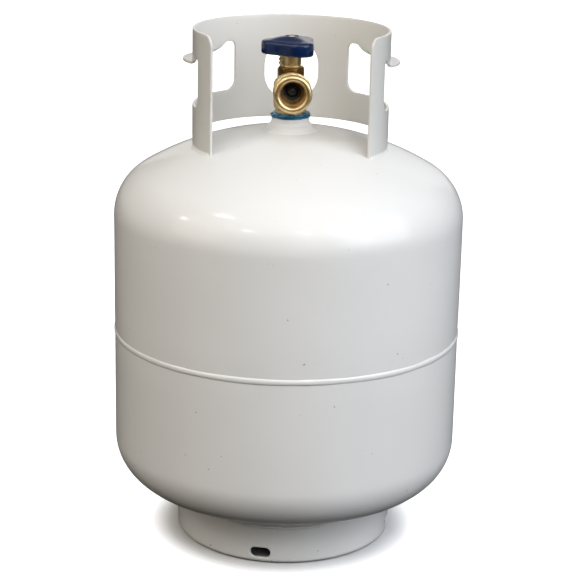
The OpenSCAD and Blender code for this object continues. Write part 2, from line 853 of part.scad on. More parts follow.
module stop_fill_housing() {
    top_z = boss_bottom_z + spigot_h;
    color("#2f5f9e") on_valve() difference() {
        union() {
            at_z(floor_low_z) cylinder(h = top_z - floor_low_z, r = housing_r);
            for (y = [-5, 2.2]) translate([pivot_x - 3.2, y, pivot_z - 4])
                cube([6.4, 2.8, floor_low_z - pivot_z + 5]);
        }
        at_z(boss_bottom_z) cylinder(h = spigot_h + cut, r = spigot_r);
        at_z(floor_high_z) cylinder(h = boss_bottom_z - floor_high_z + cut, r = plunger_r + run);
        at_z(floor_low_z - cut) cylinder(h = 2 * cut + floor_high_z - floor_low_z,
            r = plunger_rod_r + run);
        translate([pivot_x, 20, pivot_z]) rotate([90, 0, 0]) cylinder(h = 40, r = pin_r);
        // the fixed liquid level tube passes down through the housing's wall
        translate([tube_x, tube_y, 250]) cylinder(h = 200, r = tube_r + 0.2);
        // ports that let the gas into the top of the housing
        for (a = [60:120:300]) rotate([0, 0, a]) translate([3.5, 0, port_z]) rotate([0, 90, 0])
            cylinder(h = 20, r = 2);
    }
}

// Angle of the arm's nose below the level when the float hangs down
function nose_start() = arm_droop - nose_lead;

function plunger_foot_z() = pivot_z - pivot_x * sin(nose_start()) + nose_r + plunger_gap;

module stop_fill_plunger() {
    foot_z = plunger_foot_z();
    shoulder_z = floor_high_z + 0.3;
    head_h = 2.5;
    color("#e6e2d2") on_valve() difference() {
        union() {
            at_z(foot_z) cylinder(h = plunger_top_z - foot_z, r = plunger_rod_r);
            at_z(shoulder_z) cylinder(h = port_z - 4 - shoulder_z, r = plunger_r);
            at_z(plunger_top_z - head_h) cylinder(h = head_h, r = plunger_r);
        }
        // a flat lets the gas past
        translate([3, -10, shoulder_z - cut]) cube([10, 20, plunger_top_z - shoulder_z + 2 * cut]);
    }
}

module float_arm() {
    color("#3a3a3c") on_valve() translate([pivot_x, arm_t / 2, pivot_z]) rotate([90, 0, 0])
        linear_extrude(height = arm_t) difference() {
            union() {
                circle(hub_r);
                rotate(180 + nose_start()) translate([pivot_x, 0]) circle(nose_r);
                rotate(180 + arm_droop) translate([0, -1.5]) square([arm_l + 8, 3]);
            }
            circle(pin_r + run);
        }
}

module float() {
    color("#222226") on_valve() translate([pivot_x, 0, pivot_z]) rotate([0, -90 - arm_droop, 0])
        difference() {
            union() {
                at_z(arm_l + float_r) cylinder(h = float_l - 2 * float_r, r = float_r);
                for (end = [float_r, float_l - float_r]) at_z(arm_l + end) sphere(float_r);
            }
            translate([-1.5, -arm_t / 2, 0]) cube([3, arm_t, arm_l + 8]);
        }
}

module float_pin() {
    color("#b8b8b8") on_valve() translate([pivot_x, 5.4, pivot_z]) rotate([90, 0, 0])
        cylinder(h = 10.8, r = pin_r);
}

lower_shell();
upper_shell();
girth_weld();
foot_ring();
foot_welds();
collar();
collar_welds();
valve_boss();
boss_weld();
valve_body();
thread_sealant();
bonnet();
bonnet_gasket();
stem();
stem_o_rings();
thrust_washer();
seat_carrier();
seat_disc();
handwheel();
handwheel_washer();
handwheel_screw();
outlet_seal();
check_poppet();
check_spring();
check_guide();
relief_disc();
relief_poppet();
relief_spring();
relief_retainer();
relief_cap();
bleeder_screw();
bleeder_o_ring();
dip_tube();
stop_fill_housing();
stop_fill_plunger();
float_arm();
float();
float_pin();
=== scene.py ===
import json
import math
from math import cos, pi, radians, sin

import bmesh
import bpy
import numpy as np
from mathutils import Matrix, Vector, noise
from mathutils.geometry import delaunay_2d_cdt


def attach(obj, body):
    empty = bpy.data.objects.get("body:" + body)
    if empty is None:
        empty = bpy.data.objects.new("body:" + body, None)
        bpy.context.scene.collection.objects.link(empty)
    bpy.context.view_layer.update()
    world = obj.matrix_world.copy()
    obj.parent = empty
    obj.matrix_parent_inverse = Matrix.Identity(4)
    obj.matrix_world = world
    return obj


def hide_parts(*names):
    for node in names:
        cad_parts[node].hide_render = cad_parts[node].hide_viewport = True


# A refillable 20 lb steel propane tank: white enamel, a brass valve and a navy handwheel.
# Lengths in the shape code are millimetres in the CAD frame. piece() turns them into metres.

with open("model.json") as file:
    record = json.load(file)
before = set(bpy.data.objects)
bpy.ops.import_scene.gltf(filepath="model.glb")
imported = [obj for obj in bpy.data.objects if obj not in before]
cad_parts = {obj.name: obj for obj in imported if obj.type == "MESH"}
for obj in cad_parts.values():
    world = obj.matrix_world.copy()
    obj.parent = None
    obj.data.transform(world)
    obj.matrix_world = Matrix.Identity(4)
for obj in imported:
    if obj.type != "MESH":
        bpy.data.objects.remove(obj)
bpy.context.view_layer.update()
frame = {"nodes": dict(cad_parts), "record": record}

MM = 0.001
TAU = 2 * pi
NODES = frame["nodes"]

# Main sizes, as in the CAD source
SHELL_R = 155.0
WALL = 2.0
LOWER_Z, UPPER_Z = 91.0, 296.0
LOWER_KNUCKLE, UPPER_KNUCKLE = 42.8, 47.4
LOWER_CROWN, UPPER_CROWN = 367.0, 258.0
GIRTH_Z = 191.0
BEAD_HALF = 3.0
FOOT_R = 98.0
FOOT_WALL = 2.8
COLLAR_R = 86.0
COLLAR_WALL = 2.5
COLLAR_TOP = 460.8
VALVE_TURN = radians(2.3)
OUTLET_Z = 410.5
RELIEF_Z = 395.0
BLEEDER = (-7.6, 9.6)
BLEEDER_ROOM = 4.5
SPOT_R, SPOT_Z = 12.6, 417.9

UPPER_CENTRE_Z = UPPER_Z - math.sqrt((UPPER_CROWN - UPPER_KNUCKLE) ** 2 - (SHELL_R - UPPER_KNUCKLE) ** 2)
LOWER_CENTRE_Z = LOWER_Z + math.sqrt((LOWER_CROWN - LOWER_KNUCKLE) ** 2 - (SHELL_R - LOWER_KNUCKLE) ** 2)

valve_frame = Matrix.Rotation(VALVE_TURN, 4, "Z")
outlet_frame = valve_frame @ Matrix.Translation((0, 0, OUTLET_Z)) @ Matrix.Rotation(pi / 2, 4, "X")
relief_frame = valve_frame @ Matrix.Translation((0, 0, RELIEF_Z)) @ Matrix.Rotation(-pi / 2, 4, "X")
bleeder_frame = valve_frame @ Matrix.Translation((BLEEDER[0], BLEEDER[1], 0))


# ---------------------------------------------------------------- materials

def new_material(name):
    material = bpy.data.materials.new(name)
    material.use_nodes = True
    tree = material.node_tree
    shader = tree.nodes["Principled BSDF"]
    return material, tree, shader


def add(tree, kind, **values):
    node = tree.nodes.new(kind)
    for key, value in values.items():
        if key in node.inputs:
            node.inputs[key].default_value = value
        else:
            setattr(node, key, value)
    return node


def noise_node(tree, scale, detail=3.0, roughness=0.55, stretch=None):
    where = add(tree, "ShaderNodeTexCoord")
    mapping = add(tree, "ShaderNodeMapping")
    if stretch:
        mapping.inputs["Scale"].default_value = stretch
    tree.links.new(where.outputs["Object"], mapping.inputs["Vector"])
    node = add(tree, "ShaderNodeTexNoise", Scale=scale, Detail=detail, Roughness=roughness)
    tree.links.new(mapping.outputs["Vector"], node.inputs["Vector"])
    return node


def ramp(tree, source, stops):
    node = tree.nodes.new("ShaderNodeValToRGB")
    elements = node.color_ramp.elements
    while len(elements) < len(stops):
        elements.new(0.5)
    for element, (at, colour) in zip(elements, stops):
        element.position = at
        element.color = (*colour, 1) if len(colour) == 3 else colour
    tree.links.new(source, node.inputs["Fac"])
    return node


def bump(tree, source, strength, distance, below=None):
    node = add(tree, "ShaderNodeBump", Strength=strength, Distance=distance)
    tree.links.new(source, node.inputs["Height"])
    if below is not None:
        tree.links.new(below.outputs["Normal"], node.inputs["Normal"])
    return node


def grey(v):
    return (v, v, v)


def enamel(name, tint, shade, gloss=(0.27, 0.33)):
    """Baked white enamel: faint orange peel, a little grime in broad clouds, sparse tiny chips."""
    material, tree, shader = new_material(name)
    clouds = noise_node(tree, 9.0, 4.0, 0.6)
    base = ramp(tree, clouds.outputs["Fac"], [(0.05, shade), (0.95, tint)])
    base.color_ramp.interpolation = "EASE"
    chips = noise_node(tree, 210.0, 2.0, 0.5)
    chip_mask = ramp(tree, chips.outputs["Fac"], [(0.765, grey(0.0)), (0.785, grey(1.0))])
    mix = add(tree, "ShaderNodeMix", data_type="RGBA")
    tree.links.new(chip_mask.outputs["Color"], mix.inputs["Factor"])
    tree.links.new(base.outputs["Color"], mix.inputs[6])
    mix.inputs[7].default_value = (0.36, 0.34, 0.31, 1)
    tree.links.new(mix.outputs[2], shader.inputs["Base Color"])
    smears = noise_node(tree, 26.0, 3.0, 0.6, stretch=(1, 1, 0.5))
    rough = ramp(tree, smears.outputs["Fac"], [(0.1, grey(gloss[0])), (0.9, grey(gloss[1]))])
    tree.links.new(rough.outputs["Color"], shader.inputs["Roughness"])
    shader.inputs["Specular IOR Level"].default_value = 0.26
    shader.inputs["Coat Weight"].default_value = 0.38
    shader.inputs["Coat Roughness"].default_value = 0.10
    dents = noise_node(tree, 14.0, 1.0, 0.4)
    peel = noise_node(tree, 620.0, 2.0, 0.5)
    broad = bump(tree, dents.outputs["Fac"], 0.5, 0.0022)
    fine = bump(tree, peel.outputs["Fac"], 0.10, 0.00016, broad)
    tree.links.new(fine.outputs["Normal"], shader.inputs["Normal"])
    return material


def mottled(name, patches, stops, wear_scale, rough, grain_scale, strength, height):
    """A surface whose colour, roughness and grain each follow a noise of their own."""
    material, tree, shader = new_material(name)
    colour = ramp(tree, noise_node(tree, *patches).outputs["Fac"], stops)
    tree.links.new(colour.outputs["Color"], shader.inputs["Base Color"])
    wear = noise_node(tree, wear_scale, 3.0, 0.6)
    spread = ramp(tree, wear.outputs["Fac"], [(0.3, grey(rough[0])), (0.7, grey(rough[1]))])
    tree.links.new(spread.outputs["Color"], shader.inputs["Roughness"])
    grain = noise_node(tree, grain_scale, 2.0, 0.5)
    raised = bump(tree, grain.outputs["Fac"], strength, height)
    tree.links.new(raised.outputs["Normal"], shader.inputs["Normal"])
    return material, shader


def metal(name, light, dark, rough, metallic=1.0):
    """Metal with patches of tarnish and fine tool marks or cast grain."""
    material, shader = mottled(name, (140.0, 4.0, 0.6), [(0.34, dark), (0.60, light)],
                               322.0, rough, 900.0, 0.12, 0.00012)
    shader.inputs["Metallic"].default_value = metallic
    return material


def plastic(name, colour, other, rough, grain=700.0, coat=0.0, texture=0.15, shine=0.5):
    """Moulded plastic or rubber with slight colour drift and a fine texture."""
    material, shader = mottled(name, (60.0, 3.0, 0.5), [(0.35, other), (0.65, colour)],
                               120.0, rough, grain, texture, 0.00015)
    shader.inputs["Coat Weight"].default_value = coat
    shader.inputs["Specular IOR Level"].default_value = shine
    return material


# light colour, dark colour, range of roughness, how metallic
METALS = {
    "brass": ((0.80, 0.62, 0.345), (0.63, 0.45, 0.20), (0.31, 0.43)),
    # The bore's brass is brass painted darker and less metallic: painted shade inside the outlet's bore.
    "bore_brass_painted_shade": ((0.58, 0.38, 0.15), (0.38, 0.23, 0.08), (0.42, 0.55), 0.8),
    "dark_brass": ((0.46, 0.27, 0.08), (0.22, 0.11, 0.03), (0.26, 0.42)),
    "zinc_steel": ((0.55, 0.50, 0.42), (0.40, 0.36, 0.29), (0.42, 0.58)),
    "spring_steel": ((0.55, 0.55, 0.56), (0.42, 0.42, 0.43), (0.22, 0.35)),
}
# colour, other colour, range of roughness, scale of the grain, coat, texture, shine
PLASTICS = {
    "sealant": ((0.001, 0.135, 0.26), (0.001, 0.072, 0.15), (0.20, 0.36), 300.0, 0.12, 0.5),
    "gasket_red": ((0.36, 0.13, 0.07), (0.25, 0.09, 0.05), (0.6, 0.8), 500.0),
    "black_rubber": ((0.022, 0.022, 0.026), (0.012, 0.012, 0.014), (0.35, 0.55)),
    "nylon": ((0.68, 0.65, 0.55), (0.60, 0.57, 0.48), (0.35, 0.5)),
    "knob_plastic": ((0.004, 0.018, 0.070), (0.003, 0.012, 0.054), (0.17, 0.25), 420.0, 0.40, 0.05, 0.20),
    "check_plastic": ((0.055, 0.065, 0.085), (0.035, 0.042, 0.06), (0.2, 0.32), 500.0, 0.2),
    "cap_plastic": ((0.60, 0.36, 0.02), (0.50, 0.28, 0.015), (0.3, 0.45)),
    "housing_plastic": ((0.03, 0.11, 0.33), (0.02, 0.08, 0.25), (0.3, 0.42)),
    "plunger_plastic": ((0.74, 0.70, 0.60), (0.66, 0.62, 0.52), (0.3, 0.42)),
    "arm_plastic": ((0.04, 0.04, 0.043), (0.028, 0.028, 0.03), (0.45, 0.6)),
    "float_foam": ((0.02, 0.02, 0.023), (0.012, 0.012, 0.014), (0.7, 0.9), 260.0, 0.0, 0.8),
}
MATERIALS = {
    "white_enamel": enamel("white_enamel", (0.80, 0.795, 0.775), (0.775, 0.767, 0.742)),
    # The collar's enamel is the white enamel painted darker and warmer: painted shade for the collar's self-shadow.
    "collar_enamel_painted_shade": enamel("collar_enamel_painted_shade", (0.70, 0.69, 0.655), (0.675, 0.662, 0.622)),
}
MATERIALS.update({name: metal(name, *look) for name, look in METALS.items()})
MATERIALS.update({name: plastic(name, *look) for name, look in PLASTICS.items()})

slot_of = {entry["node"]: entry["material_slot"] for entry in frame["record"]["subparts"]}
for node_name, node_object in NODES.items():
    node_object.data.materials.clear()
    node_object.data.materials.append(MATERIALS[slot_of[node_name]])


# ---------------------------------------------------------------- mesh tools

def welded_mesh(name, parts, near, scale=1.0):
    """One mesh from (points, faces) parts, with doubled points merged and its normals outwards."""
    points, faces = [], []
    for part_points, part_faces in parts:
        offset = len(points)
        points.extend(part_points)
        faces.extend(tuple(i + offset for i in face) for face in part_faces)
    mesh = bpy.data.meshes.new(name)
    mesh.from_pydata([Vector(p) for p in points], [], faces)
    mesh.transform(Matrix.Scale(scale, 4))
    tool = bmesh.new()
    tool.from_mesh(mesh)
    bmesh.ops.remove_doubles(tool, verts=tool.verts, dist=near)
    bmesh.ops.recalc_face_normals(tool, faces=tool.faces)
    tool.to_mesh(mesh)
    tool.free()
    return mesh


def piece(name, parts, body="tank", replaces=(), slot=None, sharp=35.0, look=None, second=None):
    """Makes one object from parts in millimetres. second is (material, test of a face's middle)."""
    mesh = welded_mesh(name, parts, 2e-6, MM)
    for polygon in mesh.polygons:
        polygon.use_smooth = True
    mesh.set_sharp_from_angle(angle=radians(sharp))
    made = bpy.data.objects.new(name, mesh)
    bpy.context.scene.collection.objects.link(made)
    slot = slot or slot_of[replaces[0]]
    mesh.materials.append(MATERIALS[look or slot])
    if second:
        mesh.materials.append(MATERIALS[second[0]])
        for polygon in mesh.polygons:
            polygon.material_index = int(second[1](polygon.center / MM))
    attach(made, body)
    if replaces:
        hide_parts(*replaces)
    return made


def rounded(points, step):
    """A 2D outline from (x, y, corner radius) corners, with the arcs sampled."""
    out = []
    count = len(points)
    for i, (x, y, r) in enumerate(points):
        here = np.array([x, y], float)
        if r <= 0:
            out.append(here)
            continue
        before = np.array(points[i - 1][:2], float)
        after = np.array(points[(i + 1) % count][:2], float)
        a, b = before - here, after - here
        la, lb = np.linalg.norm(a), np.linalg.norm(b)
        a, b = a / la, b / lb
        half = math.acos(max(-1, min(1, float(a @ b)))) / 2
        if half > radians(89):
            out.append(here)
            continue
        cut = min(r / math.tan(half), 0.499 * la, 0.499 * lb)
        r = cut * math.tan(half)
        centre = here + (a + b) / np.linalg.norm(a + b) * r / sin(half)
        start, end = here + a * cut, here + b * cut
        a0 = math.atan2(*(start - centre)[::-1])
        a1 = math.atan2(*(end - centre)[::-1])
        turn = (a1 - a0 + pi) % TAU - pi
        steps = max(2, int(math.ceil(abs(turn) * r / step)), int(math.ceil(abs(turn) / 0.3)))
        for k in range(steps + 1):
            angle = a0 + turn * k / steps
            out.append(centre + r * np.array([cos(angle), sin(angle)]))
    return out


def box_corners(x0, x1, y0, y1, r):
    return [(x0, y0, r), (x1, y0, r), (x1, y1, r), (x0, y1, r)]


def resample(points, step, closed=True):
    """Splits long edges so that no edge is much over step, and drops doubled points."""
    out = []
    count = len(points)
    for i in range(count if closed else count - 1):
        a, b = np.array(points[i]), np.array(points[(i + 1) % count])
        length = float(np.linalg.norm(b - a))
        if length < 1e-6:
            continue
        pieces = max(1, int(math.ceil(length / step)))
        for k in range(pieces):
            out.append(a + (b - a) * k / pieces)
    if not closed:
        out.append(np.array(points[-1]))
    return out


def grid_faces(rows, size, wrap_rows=True, wrap_size=True):
    """The quads of a grid of points that is stored row by row."""
    faces = []
    for i in range(rows if wrap_rows else rows - 1):
        a, b = i * size, (i + 1) % rows * size
        for k in range(size if wrap_size else size - 1):
            n = (k + 1) % size
            faces.append((a + k, b + k, b + n, a + n))
    return faces


def capped_faces(rows, size):
    """The quads of a swept closed outline, and its two ends."""
    ends = [tuple(range(size)), tuple(reversed(range((rows - 1) * size, rows * size)))]
    return grid_faces(rows, size, wrap_rows=False) + ends


def turned(segments):
    """The angles of one turn."""
    return [TAU * i / segments for i in range(segments)]


def polar(r, angle, z):
    return r * cos(angle), r * sin(angle), z


def revolve(profile, segments, warp=None, closed=True):
    """Turns a (radius, height) outline about +Z. warp(angle, r, z) may move each point."""
    points = []
    for angle in turned(segments):
        for r, z in profile:
            if warp:
                r, z = warp(angle, r, z)
            points.append(polar(r, angle, z))
    return points, grid_faces(segments, len(profile), wrap_size=closed)


def moved(part, matrix):
    return [tuple(matrix @ Vector(p)) for p in part[0]], part[1]


def wobble(x, y, z, scale, seed=0.0):
    return noise.noise(Vector((x * scale + seed, y * scale - seed, z * scale + 2 * seed)))


def inside(points, loops):
    """Even-odd test of many points against all the loops."""
    x, y = points[:, 0], points[:, 1]
    found = np.zeros(len(points), bool)
    for loop in loops:
        a = np.asarray(loop)
        b = np.roll(a, -1, axis=0)
        for (x0, y0), (x1, y1) in zip(a, b):
            if y0 == y1:
                continue
            crosses = (y0 > y) != (y1 > y)
            found ^= crosses & (x < (x1 - x0) * (y - y0) / (y1 - y0) + x0)
    return found


def outward(loop, solid_inside):
    """Unit normals of a closed loop that point out of the sheet."""
    a = np.asarray(loop)
    along = np.roll(a, -1, axis=0) - np.roll(a, 1, axis=0)
    normal = np.stack([along[:, 1], -along[:, 0]], axis=1)
    normal /= np.linalg.norm(normal, axis=1)[:, None] + 1e-12
    area = 0.5 * float(np.sum(a[:, 0] * np.roll(a[:, 1], -1) - np.roll(a[:, 0], -1) * a[:, 1]))
    return normal if (area > 0) == solid_inside else -normal


def thinned(inner, loops, gap):
    """The inner points that lie inside the loops and clear of them by the square root of gap."""
    inner = inner[inside(inner, loops)]
    rim = np.concatenate(loops)
    near = np.array([np.min(np.sum((rim - p) ** 2, axis=1)) for p in inner])
    return inner[near > gap]


def sheet_sides(loops, inner, tolerance, place, half):
    """Both faces of a sheet, filled between its flat loops and bent by place(s, z, depth).

    Gives the points, the faces, the index of each loop's point on the front, and the step to the back.
    """
    edges, first = [], 0
    for loop in loops:
        n = len(loop)
        edges += [(first + i, first + (i + 1) % n) for i in range(n)]
        first += n
    coords = [Vector(p) for p in np.concatenate([*loops, inner])]
    flat, _, triangles, sources = delaunay_2d_cdt(coords, edges, [], 0, tolerance)[:4]
    flat = np.array([tuple(p) for p in flat])
    keep = inside(np.array([flat[list(t)].mean(0) for t in triangles]), loops)
    triangles = [tuple(t) for t, k in zip(triangles, keep) if k]
    at = {s: i for i, source in enumerate(sources) for s in source}
    points = [place(p[0], p[1], depth) for depth in (half, -half) for p in flat]
    faces = triangles + [tuple(i + len(flat) for i in reversed(t)) for t in triangles]
    return points, faces, at, len(flat)


def round_edge(points, faces, base, normal, front, back_by, place, half, edge_r, arcs=3):
    """Adds the rounded edge between a loop on a sheet's front and the same loop on its back."""
    rows = [front]
    for side in (1, -1):
        for k in (range(1, arcs + 1) if side > 0 else range(arcs, 0, -1)):
            turn = 0.5 * pi * k / arcs
            depth = side * (half - edge_r + edge_r * cos(turn))
            rows.append(list(range(len(points), len(points) + len(base))))
            points.extend(place(*(p + q * edge_r * sin(turn)), depth) for p, q in zip(base, normal))
    rows.append([i + back_by for i in front])
    for row, following in zip(rows, rows[1:]):
        for i in range(len(row)):
            j = (i + 1) % len(row)
            faces.append((row[i], row[j], following[j], following[i]))


def sheet_solid(outer, holes, place, thickness, edge_r, grid, extra):
    """A sheet of metal with rounded edges. place(s, z, depth) bends the flat outline into space."""
    loops = [np.asarray(loop) for loop in (outer, *holes)]
    normals = [outward(loop, i == 0) for i, loop in enumerate(loops)]
    inset = [loop - normal * edge_r for loop, normal in zip(loops, normals)]
    rim = np.concatenate(inset)
    low, high = rim.min(0), rim.max(0)
    xs = np.arange(low[0] + grid[0] / 2, high[0], grid[0])
    ys = np.arange(low[1] + grid[1] / 2, high[1], grid[1])
    inner = np.array([(x, y) for x in xs for y in ys] + [tuple(p) for p in extra])
    inner = thinned(inner, inset, (0.45 * min(grid)) ** 2)
    points, faces, at, back_by = sheet_sides(inset, inner, 1e-5, place, thickness / 2)
    first = 0
    for normal, base in zip(normals, inset):
        front = [at[first + i] for i in range(len(base))]
        round_edge(points, faces, base, normal, front, back_by, place, thickness / 2, edge_r)
        first += len(base)
    return points, faces


def smooth_step(t):
    t = max(0.0, min(1.0, t))
    return t * t * (3 - 2 * t)


def arc(cx, cy, r, a0, a1, steps):
    """Points on an arc, with the angles in degrees."""
    return [(cx + r * cos(radians(a0 + (a1 - a0) * k / steps)),
             cy + r * sin(radians(a0 + (a1 - a0) * k / steps))) for k in range(steps + 1)]


def dome_z(r):
    """Height of the upper head's crown at a radius."""
    return UPPER_CENTRE_Z + math.sqrt(UPPER_CROWN ** 2 - r * r)


def base_z(r):
    """Height of the lower head's crown at a radius."""
    return LOWER_CENTRE_Z - math.sqrt(LOWER_CROWN ** 2 - r * r)


# ---------------------------------------------------------------- shell

def head_profile(tangent_z, knuckle, crown, centre_z, r_from, up, depth=0.0, steps=26):
    """Outline of a head from a radius on its crown out to its straight side."""
    tilt = math.atan2(SHELL_R - knuckle, up * (tangent_z - centre_z))
    first = math.asin(r_from / (crown - depth)) if r_from else 0.0
    out = []
    for k in range(steps + 1):
        a = first + (tilt - first) * k / steps
        out.append(((crown - depth) * sin(a), centre_z + up * (crown - depth) * cos(a)))
    for k in range(1, steps + 1):
        a = tilt + (pi / 2 - tilt) * k / steps
        out.append((SHELL_R - knuckle + (knuckle - depth) * sin(a),
                    tangent_z + up * (knuckle - depth) * cos(a)))
    return out


def drawn_shape(angle, r, z):
    """The faint unevenness of a drawn steel shell, and the pull of the girth weld."""
    if r < 30:
        return r, z
    x, y, _ = polar(SHELL_R, angle, 0)
    near = math.exp(-((z - GIRTH_Z) / 9.0) ** 2)
    shift = 0.10 * wobble(x, y, z, 0.013, 4.0) - 0.35 * near * (0.7 + 0.3 * wobble(x, y, z, 0.05, 9.0))
    return r + shift - 0.10, z


def side(z0, z1, depth, steps):
    return [(SHELL_R - depth, z0 + (z1 - z0) * k / steps) for k in range(1, steps)]


upper_out = head_profile(UPPER_Z, UPPER_KNUCKLE, UPPER_CROWN, UPPER_CENTRE_Z, 18.5, 1)
upper_in = head_profile(UPPER_Z, UPPER_KNUCKLE, UPPER_CROWN, UPPER_CENTRE_Z, 18.5, 1, WALL)
upper_edge = GIRTH_Z + 1.0
upper_profile = (upper_out + side(UPPER_Z, upper_edge + 8, 0, 18) + side(upper_edge + 8, upper_edge, 0, 8)
                 + [(SHELL_R - 0.5, upper_edge), (SHELL_R - WALL, upper_edge)]
                 + [(SHELL_R - WALL, upper_edge + 20)] + upper_in[::-1])
piece("shell_upper", [revolve(upper_profile, 200, warp=drawn_shape)], replaces=("upper_shell",))

lower_out = head_profile(LOWER_Z, LOWER_KNUCKLE, LOWER_CROWN, LOWER_CENTRE_Z, 0.0, -1)
lower_in = head_profile(LOWER_Z, LOWER_KNUCKLE, LOWER_CROWN, LOWER_CENTRE_Z, 0.0, -1, WALL)
lower_edge = GIRTH_Z - 1.0
joggle_r = SHELL_R - WALL - 0.1
lower_profile = (lower_out + side(LOWER_Z, lower_edge - 8, 0, 12) + side(lower_edge - 8, lower_edge, 0, 8)
                 + [(SHELL_R - 0.5, lower_edge), (joggle_r, lower_edge + 0.6), (joggle_r, lower_edge + 14),
                    (joggle_r - WALL, lower_edge + 14), (joggle_r - WALL, lower_edge - 4),
                    (SHELL_R - WALL, lower_edge - 10)] + lower_in[::-1])
piece("shell_lower", [revolve(lower_profile, 200, warp=drawn_shape)], replaces=("lower_shell",))


def girth_bead(segments=900, steps=12):
    """A machine-laid weld bead with fine ripples and the lumps where it stops and starts."""
    lumps = [(radians(-83.0), 0.30, 0.030), (radians(-37.0), 0.34, 0.05), (radians(97.0), 0.3, 0.04)]
    points = []
    for a in turned(segments):
        x, y, _ = polar(SHELL_R, a, 0)
        lump = sum(h * math.exp(-(((a - at + pi) % TAU - pi) / w) ** 2) for at, h, w in lumps)
        ripple = 0.05 * sin(a * 430 + 3 * wobble(x, y, 0, 0.03)) + 0.07 * wobble(x, y, 0, 0.25, 3.0)
        wander = 0.35 * wobble(x, y, 0, 0.016, 6.0)
        proud = 1.05 + 0.12 * wobble(x, y, 0, 0.04, 8.0) + ripple + lump
        half = BEAD_HALF * (0.92 + 0.10 * wobble(x, y, 0, 0.05, 2.0)) + lump * 0.8
        for k in range(steps + 1):
            t = -1 + 2 * k / steps
            rise = proud * max(0.0, 1 - abs(t) ** 2.6)
            r = min(SHELL_R - 0.45 + rise, SHELL_R + 1.55)
            points.append(polar(r, a, GIRTH_Z + wander + half * t))
        points.append(polar(SHELL_R - 1.6, a, GIRTH_Z))
    return points, grid_faces(segments, steps + 2)


piece("girth_weld_bead", [girth_bead()], replaces=("girth_weld",), sharp=60)


# ---------------------------------------------------------------- foot ring

foot_mid = FOOT_R - FOOT_WALL / 2
CURL = 4.0
CURL_MID = CURL - FOOT_WALL / 2


def foot_place(s, z, depth):
    """Below the curl's height, the sheet bends inwards into the rolled foot."""
    angle = s / foot_mid
    if z >= CURL:
        r, h, nr, nz = foot_mid, z, 1.0, 0.0
    else:
        bend = min((CURL - z) / CURL_MID, pi / 2)
        flat = max(0.0, CURL - z - CURL_MID * pi / 2)
        r = FOOT_R - CURL + CURL_MID * cos(bend) - flat
        h = CURL - CURL_MID * sin(bend)
        nr, nz = cos(bend), -sin(bend)
    return polar(r + depth * nr, angle, h + depth * nz)


def foot_quarter(first_angle):
    """Flat outlines of a quarter of the ring and of the drain slot in its middle, and points along its curl."""
    s0, s1 = foot_mid * first_angle, foot_mid * (first_angle + pi / 2)
    top = base_z(foot_mid) + 0.9
    low = 0.3 - CURL_MID * pi / 2
    mid = (s0 + s1) / 2
    slot = resample(rounded(box_corners(mid - 9, mid + 9, 5.3, 14.7, 4.4), 0.5), 0.9)
    ends = [-1.0, 0.0, 0.8, 1.6, 2.4, 3.2, 4.0, 6.0, 10, 14, 18, 22, 26, 30, 34, 38]
    columns = 44
    outer = [np.array([s0 + (s1 - s0) * k / columns, low]) for k in range(columns)]
    outer += [np.array([s1, z]) for z in [low] + ends]
    outer += [np.array([s1 - (s1 - s0) * k / columns, top]) for k in range(columns)]
    outer += [np.array([s0, z]) for z in [top] + ends[::-1]]
    extra = [(s, z) for s in np.linspace(s0 + 1.7, s1 - 1.7, 60)
             for z in (-2.0, -0.9, 0.0, 0.7, 1.4, 2.1, 2.8, 3.5, 4.3)]
    return outer, slot, extra


def open_sheet(outer, hole, extra):
    """Like sheet_solid, but the outer loop's upright sides stay open to join the next quarter."""
    edge_r, half = 0.6, FOOT_WALL / 2
    outer, hole = np.asarray(outer), np.asarray(hole)
    hole_normal = outward(hole, False)
    loops = [outer, hole - hole_normal * edge_r]
    low, high = outer.min(0), outer.max(0)
    inner = [(x, y) for x in np.arange(low[0] + 2, high[0], 3.6) for y in np.arange(6.0, high[1], 4.0)]
    inner = thinned(np.array(inner + list(extra)), loops, 0.5)
    points, faces, at, back_by = sheet_sides(loops, inner, 1e-6, foot_place, half)
    n = len(outer)
    for i in range(n):
        j = (i + 1) % n
        if outer[i][1] == outer[j][1] in (low[1], high[1]):
            faces.append((at[i], at[j], at[j] + back_by, at[i] + back_by))
    front = [at[n + i] for i in range(len(hole))]
    round_edge(points, faces, loops[1], hole_normal, front, back_by, foot_place, half, edge_r)
    return points, faces


foot_quarters = [open_sheet(*foot_quarter(radians(-146.5) + k * pi / 2)) for k in range(4)]
piece("foot_ring_rolled", foot_quarters, replaces=("foot_ring",), sharp=50)


def stitch(profile, start, end, steps, taper, ripple, seed, r0, z0):
    """A weld fillet swept round the axis. It tapers into its ends towards (r0, z0)."""
    points = []
    last = len(profile) - 1
    for i in range(steps + 1):
        t = i / steps
        a = start + (end - start) * t
        grow = smooth_step(min(t, 1 - t) / taper) ** 0.6 * 0.96 + 0.04
        x, y, _ = polar(90, a, 0)
        swell = 1 + ripple * wobble(x, y, 0, 0.22, seed)
        for k, (r, z) in enumerate(profile):
            out = grow * (swell if 0 < k < last else 1)
            points.append(polar(r0 + (r - r0) * out, a, z0 + (z - z0) * out))
    return points, capped_faces(steps + 1, len(profile))


# The bead's lower toe has a narrow cold lap, which shows as a dark line
foot_bead = [(97.2, 42.3), (97.2, 33.8), (98.2, 33.8), (98.9, 34.0), (99.6, 34.4), (99.9, 34.85), (99.6, 35.1),
             (98.0, 35.15), (98.0, 35.95), (99.0, 36.0), (99.6, 36.25), (100.3, 36.8), (101.2, 38.0), (102.0, 39.6),
             (102.8, 41.2), (103.6, 42.6), (103.2, 43.2)]
foot_parts = []
for i in range(3):
    start = radians(-128 + 120 * i)
    foot_parts.append(stitch(foot_bead, start, start + radians(66), 150, 0.16, 0.06, 3.0 + i, 97.3, 42.2))
piece("foot_stitch_welds", foot_parts, replaces=("foot_welds",), sharp=60)


# ---------------------------------------------------------------- collar

